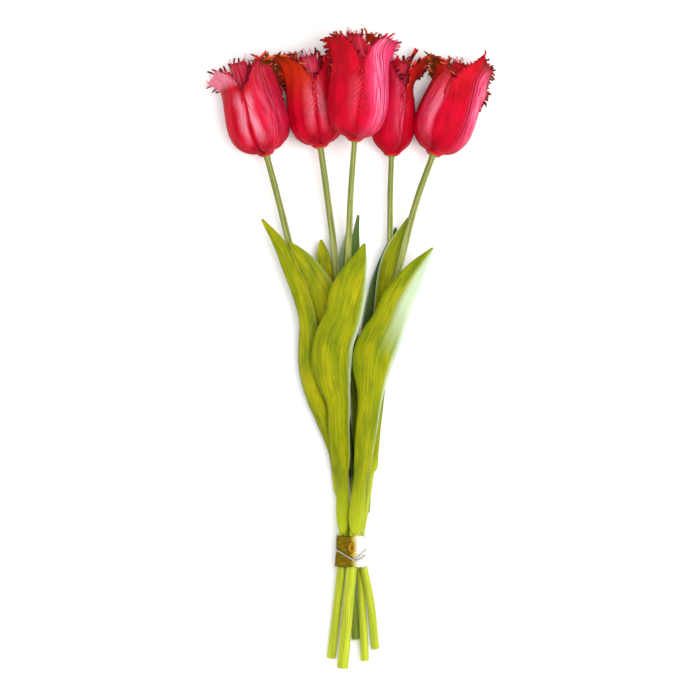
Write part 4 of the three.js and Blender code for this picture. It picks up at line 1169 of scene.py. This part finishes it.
def wire():
    """The wire: a loop in the band's groove, and its two ends twisted together on top."""
    piece = Piece()
    angles = round_angles(LOOP_RINGS)
    distance = BAND_GAP + GROOVE_THICKNESS + CLEARANCE + WIRE_RADIUS
    centres = taut_outline(angles, groove_y(angles), np.full(len(angles), distance))
    along = unit(np.roll(centres, -1, axis=0) - np.roll(centres, 1, axis=0))
    towards_end = np.array([0.0, 1.0, 0.0])
    first = unit(towards_end - along * (along @ towards_end)[:, None])
    wire_tube(piece, centres, along, first, angles * LOOP_TWIST, True, 0)
    line = Route(TWIST_PATH)
    u = np.linspace(0, 1, TWIST_RINGS)
    along = line.tangent(u)
    wide = down_from(along)
    swing = np.cross(along, wide)
    phase = 2 * math.pi * TWIST_TURNS * u
    for side in (-1, 1):
        offset = side * WIRE_RADIUS * (wide * np.cos(phase)[:, None] + swing * np.sin(phase)[:, None])
        strand = line.at(u) + offset
        heading = unit(np.gradient(strand, axis=0))
        # painted shade where this strand passes under the other
        low = smooth_step(side * np.cos(phase), -0.4, 0.4)[:, None]
        wire_tube(piece, strand, heading, down_from(heading), u * 0, False, low)
    piece.build("tie_wire", wire_material, "wire", "tie_wire")


# ---- materials ----------------------------------------------------------------------------------

LIGHT_SHARE = 0.8  # paint is mixed this much darker, because the studio light is that bright


def colour(red, green, blue):
    """The paint for a colour that is to be seen as screen values from 0 to 255."""
    def linear(value):
        value /= 255
        return LIGHT_SHARE * (value / 12.92 if value <= 0.04045 else ((value + 0.055) / 1.055) ** 2.4)
    return (linear(red), linear(green), linear(blue), 1.0)


PETAL_DEEP = colour(132, 0, 16)
PETAL_CRIMSON = colour(192, 0, 32)
PETAL_BRIGHT = colour(216, 0, 42)
PETAL_PINK = colour(240, 66, 120)
PETAL_SHEEN = colour(250, 104, 142)
PETAL_HIGHLIGHT_AND_FADE = colour(255, 164, 188)
PETAL_VEIN_AND_SHADE = colour(92, 0, 18)
PETAL_HAIR = colour(84, 0, 24)
PETAL_PALE = colour(255, 222, 228)
PETAL_ORANGE = colour(212, 54, 14)
PETAL_AMBER = colour(244, 112, 40)
PETAL_OLIVE = colour(112, 62, 18)
PETAL_FOOT = colour(196, 96, 44)

PISTIL_GREEN = colour(150, 172, 70)
PISTIL_TOP = colour(214, 204, 120)
PISTIL_SPECK = colour(120, 140, 50)

FILAMENT = colour(206, 196, 130)
ANTHER = [colour(26, 14, 26), colour(70, 44, 60)]

LEAF_GREEN = colour(124, 140, 0)
LEAF_LIGHT = colour(166, 170, 0)
LEAF_VEIN_AND_SHADE = colour(82, 108, 4)
LEAF_GOLD = colour(200, 188, 0)
LEAF_COOL_SHADE = colour(76, 108, 58)
LEAF_RIM_LIGHT = colour(214, 236, 204)
LEAF_FOOT = colour(184, 196, 30)

STEM_LOW = [colour(164, 180, 16), colour(206, 216, 58)]
STEM_HIGH = [colour(104, 116, 36), colour(176, 180, 104)]
STEM_PAINTED_SHADE = colour(96, 122, 52)
STEM_SHADE_UNDER_LEAVES = colour(44, 60, 20)
STEM_FLESH = [colour(214, 220, 140), colour(176, 192, 88)]

RAFFIA_DARK = colour(84, 72, 2)
RAFFIA_TAN = colour(136, 114, 2)
RAFFIA_GOLD = colour(168, 130, 2)
RAFFIA_KNOT = [colour(92, 48, 0), colour(168, 96, 0)]
RAFFIA_COIL = colour(204, 160, 24)
RAFFIA_LIT_YELLOW = colour(220, 196, 84)
RAFFIA_GLARE_STRAW = colour(196, 184, 132)
RAFFIA_GLARE_WHITE = colour(250, 248, 236)

WIRE_BRIGHT = [colour(196, 200, 206), colour(236, 238, 240)]
WIRE_SHADE = colour(52, 56, 60)


class Value:
    """A number or colour that varies over a material. Numbers can be added and multiplied."""

    def __init__(self, nodes, socket):
        self.nodes = nodes
        self.socket = socket

    def __add__(self, other):
        return self.nodes.math("ADD", self, other)

    def __sub__(self, other):
        return self.nodes.math("SUBTRACT", self, other)

    def __mul__(self, other):
        return self.nodes.math("MULTIPLY", self, other)

    def __abs__(self):
        return self.nodes.math("ABSOLUTE", self)

    def clamped(self):
        """The same value, kept between 0 and 1."""
        self.socket.node.use_clamp = True
        return self

    def rise(self, low, high, start=0.0, end=1.0):
        """A smooth way from start, where this value is low, to end, where it is high."""
        inputs = {"Value": self, "From Min": low, "From Max": high, "To Min": start, "To Max": end}
        return self.nodes.node("MapRange", inputs, interpolation_type="SMOOTHSTEP")

    def hump(self, low, high, top_end, end):
        """A smooth way from 0 to 1 between low and high, and back between top_end and end."""
        return self.rise(low, high) * self.rise(end, top_end)


class Nodes:
    """Short ways to add nodes to one material, whose colour is painted in layers."""

    def __init__(self, name):
        self.material = bpy.data.materials.new(name)
        self.material.use_nodes = True
        self.tree = self.material.node_tree
        self.base = None

    def link(self, value, socket):
        if isinstance(value, Value):
            self.tree.links.new(value.socket, socket)
        else:
            socket.default_value = value

    def node(self, kind, inputs, output=0, **settings):
        node = self.tree.nodes.new("ShaderNode" + kind)
        for name, setting in settings.items():
            setattr(node, name, setting)
        for key, value in inputs.items():
            self.link(value, node.inputs[key])
        return Value(self, node.outputs[output])

    def attributes(self, *names):
        return [self.node("Attribute", {}, "Fac", attribute_name=name) for name in names]

    def math(self, operation, *numbers):
        return self.node("Math", dict(enumerate(numbers)), operation=operation)

    def noise(self, *place, scale=1.0, detail=2.0, roughness=0.5):
        """Noise at a place given by three values, or else at the point in the object's own frame."""
        if place:
            vector = self.node("CombineXYZ", dict(enumerate(place)))
        else:
            vector = self.node("TexCoord", {}, "Object")
        inputs = {"Vector": vector, "Scale": scale, "Detail": detail, "Roughness": roughness}
        return self.node("TexNoise", inputs, "Fac")

    def mix(self, share, a, b):
        return self.node("Mix", {"Factor": share, "A": a, "B": b}, "Result", data_type="RGBA")

    def paint(self, share, tint):
        """Lays a tint over the colour so far, as far as share says."""
        self.base = self.mix(share, self.base, tint)

    def finish(self, bump=None, **sockets):
        """The material, with its relief as (height, distance, strength) and its other values."""
        if bump:
            inputs = dict(zip(("Height", "Distance", "Strength"), bump))
            sockets["Normal"] = self.node("Bump", inputs)
        shader = self.tree.nodes["Principled BSDF"]
        self.link(self.base, shader.inputs["Base Color"])
        for name, value in sockets.items():
            self.link(value, shader.inputs[name.replace("_", " ")])
        return self.material


def make_petal_material():
    """Satin crimson: pink and painted sheen across some petals, a painted highlight and feathered veins
    along a seam, painted shade at the sides and margins, dark hairs.

    What several of the painting functions need is kept on n.
    """
    n = Nodes("petal")
    n.length, n.lateral, n.seam, n.inside = n.attributes("length", "lateral", "seam", "inside")
    n.tip, n.edge, n.hair, n.strand = n.attributes("tip", "edge", "hair", "strand")
    n.tint = dict(zip(TINTS, n.attributes(*TINTS)))
    outer_side, seed = n.attributes("outer_side", "seed")
    n.away = abs(n.lateral)
    n.outer = n.lateral * outer_side
    n.streak = n.noise(n.lateral * 0.8, n.length * 0.05, seed, detail=3, roughness=0.6)
    n.fine = n.noise(n.lateral * 3, n.length * 0.14, seed)
    n.cloud = n.noise(n.lateral * 0.13, n.length * 0.06, seed)
    n.patchy = n.noise(n.lateral * 0.35, n.length * 0.3, seed)

    paint_petal_ground(n)
    paint_petal_pink(n)
    feather = paint_petal_feather(n)
    rib = paint_petal_lines(n)
    paint_petal_fringe(n)
    n.paint(n.length.rise(2.2, 0.4) * 0.6, PETAL_FOOT)
    height = n.fine * 0.5 + feather * -0.8 + n.streak * 0.5 + rib * -0.8
    return n.finish(
        (height, 0.0004, 0.8), Roughness=n.streak.rise(0.3, 0.7, 0.6, 0.48),
        Specular_IOR_Level=0.06, Subsurface_Weight=0.05, Subsurface_Scale=0.002,
        Subsurface_Radius=(1.0, 0.2, 0.2),
    )


def paint_petal_ground(n):
    """Streaks and clouds of crimson, with painted shade on the side away from the seam and low on both
    sides.
    """
    n.base = n.mix(n.streak.rise(0.24, 0.44), PETAL_DEEP, PETAL_CRIMSON)
    n.paint(n.cloud.rise(0.42, 0.6) * 0.85, PETAL_BRIGHT)
    # painted shade on the side of the petal away from the seam
    far_side_shade_mask = n.outer.rise(5, 17) * n.streak.rise(0.3, 0.6, 1, 0.6)
    n.paint(far_side_shade_mask * n.tint["far_side_shade"], PETAL_DEEP)
    # painted shade low on both sides of the petal, near its foot
    low_side_shade = n.length.rise(24, 8) * n.away.rise(1.5, 9)
    n.paint(low_side_shade * 0.55, PETAL_DEEP)


def paint_petal_pink(n):
    """Pink from pink_at onwards, partly the petal's own colour and partly painted sheen, a painted
    streak of sheen in it, and a painted highlight beside the seam.
    """
    onto_pink = n.lateral - n.tint["pink_at"]
    # pink, partly the petal's own colour and partly painted sheen of the light
    pink = onto_pink.rise(0, 12) * n.length.rise(6, 44, 0.15, 1)
    pink = pink * n.streak.rise(0.3, 0.56, 0.45, 1)
    pink = (pink * n.tint["pink"]).clamped()
    n.paint(pink, PETAL_PINK)
    # painted sheen: a pale streak inside the pink
    sheen = onto_pink.hump(5, 13, 14, 26) * n.streak.rise(0.42, 0.62)
    n.paint(sheen * pink * 0.7, PETAL_HIGHLIGHT_AND_FADE)

    # painted highlight in a pale band beside the seam
    beside = n.seam.rise(1.2, 3.4) * (n.seam + n.cloud * 8).rise(14, 8)
    seam_highlight = beside * n.length.hump(14, 34, 50, 63) * n.tint["seam_highlight"]
    n.paint((seam_highlight * n.streak.rise(0.3, 0.55, 0.35, 0.9)).clamped(), PETAL_HIGHLIGHT_AND_FADE)


def paint_petal_feather(n):
    """Slanting veins beside the seam, light and dark by turns: where they are dark."""
    slope = n.length + n.seam * 1.3
    wave = n.math("SINE", slope * 1.5 + n.patchy * 9)
    zone = n.length.hump(26, 40, 60, 70) * n.seam.rise(8, 1.5)
    zone = zone * n.streak.rise(0.35, 0.6, 0.35, 1) * n.tint["feather"]
    dark = wave.rise(0.2, 0.9) * zone
    n.paint(wave.rise(-0.3, -0.9) * zone * 0.45, PETAL_SHEEN)
    n.paint(dark * 0.55, PETAL_DEEP)
    return dark


def paint_petal_lines(n):
    """Painted shade in a line along the seam where two petals meet, and a dark line on the midrib with
    a fainter one on each side of it.
    """
    # painted shade in the crease along the seam
    n.paint(n.seam.rise(0.9, 0.3) * n.length.rise(6, 20) * 0.4, PETAL_VEIN_AND_SHADE)
    beside = abs(n.away - 2.6)
    rib = n.math("MAXIMUM", n.away.rise(0.8, 0.15), beside.rise(0.7, 0.1, 0, 0.6))
    rib = rib * n.length.rise(14, 30)
    n.paint(rib * n.tint["rib"], PETAL_VEIN_AND_SHADE)
    return rib


def paint_petal_fringe(n):
    """Orange, olive, painted shade on the margins and a faded rim towards the tip, and hairs that are
    dark, amber or pale.
    """
    warm, pale = n.tint["warm"], n.tint["pale"]
    warmed = n.math("MAXIMUM", n.tip, n.inside * 0.8) * warm
    n.paint((warmed * n.fine.rise(0.3, 0.6, 0.6, 1.2)).clamped(), PETAL_ORANGE)

    rimmed = n.tip * n.edge.rise(0.15, 0.8) * n.outer.rise(-6, 1)
    olive = (rimmed * n.tint["olive"]).clamped()
    n.paint(olive, PETAL_OLIVE)
    # painted shade on the petal's margins towards the tip
    n.paint(n.edge.rise(0.75, 1) * n.tip.rise(0.2, 0.7) * 0.35, PETAL_DEEP)
    faded = n.tip.rise(0.75, 1) * n.streak.rise(0.3, 0.6, 0.5, 1)
    n.paint(n.tint["fade"] * faded, PETAL_HIGHLIGHT_AND_FADE)

    dark_hair = n.mix(olive, PETAL_HAIR, PETAL_OLIVE)
    light_hair = n.mix(warm, PETAL_BRIGHT, PETAL_AMBER)
    hair_colour = n.mix(n.strand.rise(0.3, 0.8), dark_hair, light_hair)
    bleached = pale * n.outer.rise(-3, 0) * n.strand.rise(0.4, 0.5)
    hair_colour = n.mix(bleached, hair_colour, PETAL_PALE)
    n.paint(n.hair.rise(0.1, 0.5) * 0.9, hair_colour)


def make_pistil_material():
    """Pale green with darker specks, and yellower on top."""
    n = Nodes("pistil")
    length, = n.attributes("length")
    speck = n.noise(scale=900)
    n.base = n.mix(length.rise(15, 17.5), PISTIL_GREEN, PISTIL_TOP)
    n.paint(speck.rise(0.4, 0.7) * 0.4, PISTIL_SPECK)
    return n.finish((speck, 0.0002, 0.5), Roughness=0.6)


def make_stamen_material():
    """Pale filaments, and anthers with a dark grain like pollen."""
    n = Nodes("stamen")
    anther, = n.attributes("anther")
    grain = n.noise(scale=2400, detail=3)
    n.base = n.mix(anther, FILAMENT, n.mix(grain.rise(0.45, 0.65), *ANTHER))
    return n.finish((grain, 0.0002, 0.8), Roughness=0.85)


def make_stem_material():
    """Olive green under the flower to bright yellow-green at the cut end, with fine streaks, and
    painted shade below the band and between the leaves.
    """
    n = Nodes("stem")
    along, turn, cut, shade, seed = n.attributes("along", "turn", "cut", "shade", "seed")
    angle = turn * (2 * math.pi)
    round_x = n.math("COSINE", angle) * 4
    round_y = n.math("SINE", angle) * 4
    streak = n.noise(round_x, round_y, along * 0.03, detail=3, roughness=0.6)
    patch = n.noise(round_x, round_y, along * 0.06 + seed, scale=0.25)
    low, high = (n.mix(streak.rise(0.36, 0.62), *pair) for pair in (STEM_LOW, STEM_HIGH))
    n.base = n.mix(along.rise(-150, 60), low, high)
    n.paint(patch.rise(0.45, 0.7) * 0.3, STEM_HIGH[0])
    # painted shade on the stem below the band
    n.paint(along.rise(-150, -176) * shade, STEM_PAINTED_SHADE)
    # painted shade where the stem lies between the leaves
    n.paint(along.hump(-112, -92, -20, 0) * shade.rise(0.05, 0.1), STEM_SHADE_UNDER_LEAVES)
    grain = n.noise(scale=900)
    n.paint(cut, n.mix(grain.rise(0.4, 0.6), *STEM_FLESH))
    return n.finish(
        (streak, 0.0003, 0.5), Roughness=streak.rise(0.3, 0.7, 0.36, 0.5),
        Specular_IOR_Level=0.12, Subsurface_Weight=0.05, Subsurface_Scale=0.002,
        Subsurface_Radius=(0.7, 1.0, 0.3),
    )


def make_leaf_material():
    """Waxy olive green with lengthwise veins and golden patches, painted shade on one margin, a painted
    rim light on the other, painted glare, and a bluish cast that is partly painted shade.
    """
    n = Nodes("leaf")
    length, lateral, side, onward, foot = n.attributes("length", "lateral", "side", "onward", "foot")
    gold, cool_and_shaded, fold, shine, glare, seed = n.attributes(*PLAIN_LEAF, "seed")
    streak = n.noise(lateral * 0.7, length * 0.018, seed, detail=4, roughness=0.65)
    vein = n.noise(lateral * 3.4, length * 0.03, seed)
    patch = n.noise(lateral * 0.1, length * 0.03, seed)
    shaded = n.noise(lateral * 0.16, length * 0.05, 9)
    n.base = n.mix(streak.rise(0.36, 0.64), LEAF_GREEN, LEAF_LIGHT)
    n.paint(patch.rise(0.4, 0.7) * gold, LEAF_GOLD)
    n.paint(shaded.rise(0.48, 0.7) * 0.4, LEAF_VEIN_AND_SHADE)
    n.paint(vein.rise(0.46, 0.64) * 0.6, LEAF_VEIN_AND_SHADE)
    # bluish and darker: partly the leaf's own bluish back, partly painted shade on leaves that lie
    # behind
    n.paint(cool_and_shaded * 0.85, LEAF_COOL_SHADE)

    turned = side * n.math("SIGN", shine)
    # painted shade along the margin away from the light
    n.paint(turned.rise(0.72, 1) * 0.45, LEAF_VEIN_AND_SHADE)
    # painted rim light on the margin towards the light
    rim = turned.rise(-0.7, -0.97) * abs(shine) * onward.rise(0.12, 0.4, 0.25, 1)
    n.paint(rim * 0.7, LEAF_RIM_LIGHT)
    # painted glare that whitens the upper part of that side
    painted_glare = turned.rise(0.1, -0.45) * onward.rise(0.52, 0.82)
    n.paint(painted_glare * glare, LEAF_RIM_LIGHT)
    # painted highlight along the ridge of the folded midrib
    n.paint(abs(lateral).rise(0.8, 0.1) * fold * 0.3, LEAF_LIGHT)
    n.paint(foot * 0.8, LEAF_FOOT)
    return n.finish(
        (vein * 0.7 + streak * 0.6, 0.0004, 0.8), Roughness=streak.rise(0.3, 0.7, 0.4, 0.54),
        Specular_IOR_Level=0.08, Subsurface_Weight=0.04, Subsurface_Scale=0.002,
        Subsurface_Radius=(0.6, 1.0, 0.2),
    )


def make_raffia_material():
    """Dry fibre: olive-brown, turned yellow and then pale towards the right by painted light, and gold
    at the knot.
    """
    n = Nodes("raffia")
    around, across, east, knotted, bright = n.attributes("around", "across", "east", "knot", "bright")
    fibre = n.noise(across * 2.6, around * 1.6, 0, detail=4, roughness=0.7)
    hue = n.noise(across * 0.6, around * 1.1, 4)
    n.base = n.mix(fibre.rise(0.38, 0.62), RAFFIA_DARK, RAFFIA_TAN)
    n.paint(hue.rise(0.48, 0.62) * 0.5, RAFFIA_GOLD)
    # painted light: the band turns yellow and then glares pale towards the right
    lit_east = east + fibre * 9
    n.paint(lit_east.rise(5, 7, 0, 0.85), RAFFIA_LIT_YELLOW)
    n.paint(lit_east.rise(7, 10.5), n.mix(fibre.rise(0.3, 0.46), RAFFIA_GLARE_STRAW, RAFFIA_GLARE_WHITE))
    n.paint(knotted, n.mix(fibre.rise(0.4, 0.6), *RAFFIA_KNOT))
    n.paint(bright * fibre.rise(0.4, 0.55, 0.3, 1), RAFFIA_COIL)
    return n.finish((fibre, 0.0006, 0.9), Roughness=0.72, Specular_IOR_Level=0.08)


def make_wire_material():
    """Bright drawn metal with fine scratches, and painted shade where one strand lies under the other.
    """
    n = Nodes("wire")
    dull, = n.attributes("dull")
    scratch = n.noise(scale=1500, detail=3)
    n.base = n.mix(scratch.rise(0.35, 0.65), *WIRE_BRIGHT)
    # painted shade on the strand that lies underneath
    n.paint(dull * 0.9, WIRE_SHADE)
    return n.finish(Roughness=scratch.rise(0.3, 0.7, 0.25, 0.45), Metallic=1)


# ---- the room -----------------------------------------------------------------------------------

CAMERA_HEIGHT = 3.0
VIEW_WIDTH = 0.5285  # of the floor that the frame shows
VIEW_CENTRE = (-0.0004, 0.0)
SENSOR = 36.0
DAYLIGHT = 0.74  # strength of the even light from all round
FLOOR_REACH = 6.0
FLOOR_PAINT = [(0.94, 0.94, 0.94, 1.0), (0.97, 0.97, 0.97, 1.0)]


def camera():
    """Straight above the bunch, with +Y at the top of the picture."""
    data = bpy.data.cameras.new("camera")
    data.sensor_width = SENSOR
    data.lens = SENSOR * CAMERA_HEIGHT / VIEW_WIDTH
    data.clip_end = 20.0
    obj = bpy.data.objects.new("camera", data)
    obj.location = (*VIEW_CENTRE, CAMERA_HEIGHT)
    bpy.context.scene.collection.objects.link(obj)
    bpy.context.scene.camera = obj


def area_light(name, place, size, power, tint, target=(0.0, 0.0, 0.0)):
    """A round lamp that shines from its place towards its target."""
    data = bpy.data.lights.new(name, "AREA")
    data.shape = "DISK"
    data.size = size
    data.energy = power
    data.color = tint
    obj = bpy.data.objects.new(name, data)
    obj.location = place
    aim = np.array(target) - np.array(place)
    axis = np.cross(TABLE_DOWN, aim)
    angle = math.acos(float(np.dot(TABLE_DOWN, aim) / np.linalg.norm(aim)))
    obj.rotation_mode = "AXIS_ANGLE"
    obj.rotation_axis_angle = (angle, *(axis / np.linalg.norm(axis)))
    bpy.context.scene.collection.objects.link(obj)


def lay_floor():
    """The pale plane that the bunch lies on."""
    mesh = bpy.data.meshes.new("floor")
    corners = [(x * FLOOR_REACH, y * FLOOR_REACH, 0) for x, y in ((-1, -1), (1, -1), (1, 1), (-1, 1))]
    mesh.from_pydata(corners, [], [(0, 1, 2, 3)])
    floor = bpy.data.objects.new("floor", mesh)
    n = Nodes("floor")
    n.base = n.mix(n.noise(scale=60.0, detail=3.0), *FLOOR_PAINT)
    mesh.materials.append(n.finish(Roughness=0.85))
    bpy.context.scene.collection.objects.link(floor)


def room():
    """Camera, even daylight, three lamps and the floor."""
    camera()
    bpy.context.scene.view_settings.view_transform = "Standard"
    world = bpy.data.worlds.new("world")
    bpy.context.scene.world = world
    world.use_nodes = True
    background = world.node_tree.nodes["Background"]
    background.inputs["Color"].default_value = (1.0, 1.0, 1.0, 1.0)
    background.inputs["Strength"].default_value = DAYLIGHT
    area_light("key", (0.45, 0.1, 1.9), size=1.0, power=25.0, tint=(1.0, 0.99, 0.97))
    area_light("fill", (-0.9, -0.2, 1.6), size=1.4, power=8.0, tint=(1.0, 1.0, 1.0))
    area_light(
        "rim", (1.3, -0.3, 0.35), size=0.6, power=6.0, tint=(0.93, 0.98, 1.0), target=(0.0, 0.0, 0.03),
    )
    lay_floor()


room()
petal_material = make_petal_material()
pistil_material = make_pistil_material()
stamen_material = make_stamen_material()
stem_material = make_stem_material()
leaf_material = make_leaf_material()
raffia_material = make_raffia_material()
wire_material = make_wire_material()

for number in range(1, len(STEMS) + 1):
    stem(number)
    flower(number)
for spec in LEAVES:
    leaf({**PLAIN_LEAF, **spec})
band()
wire()
knot()
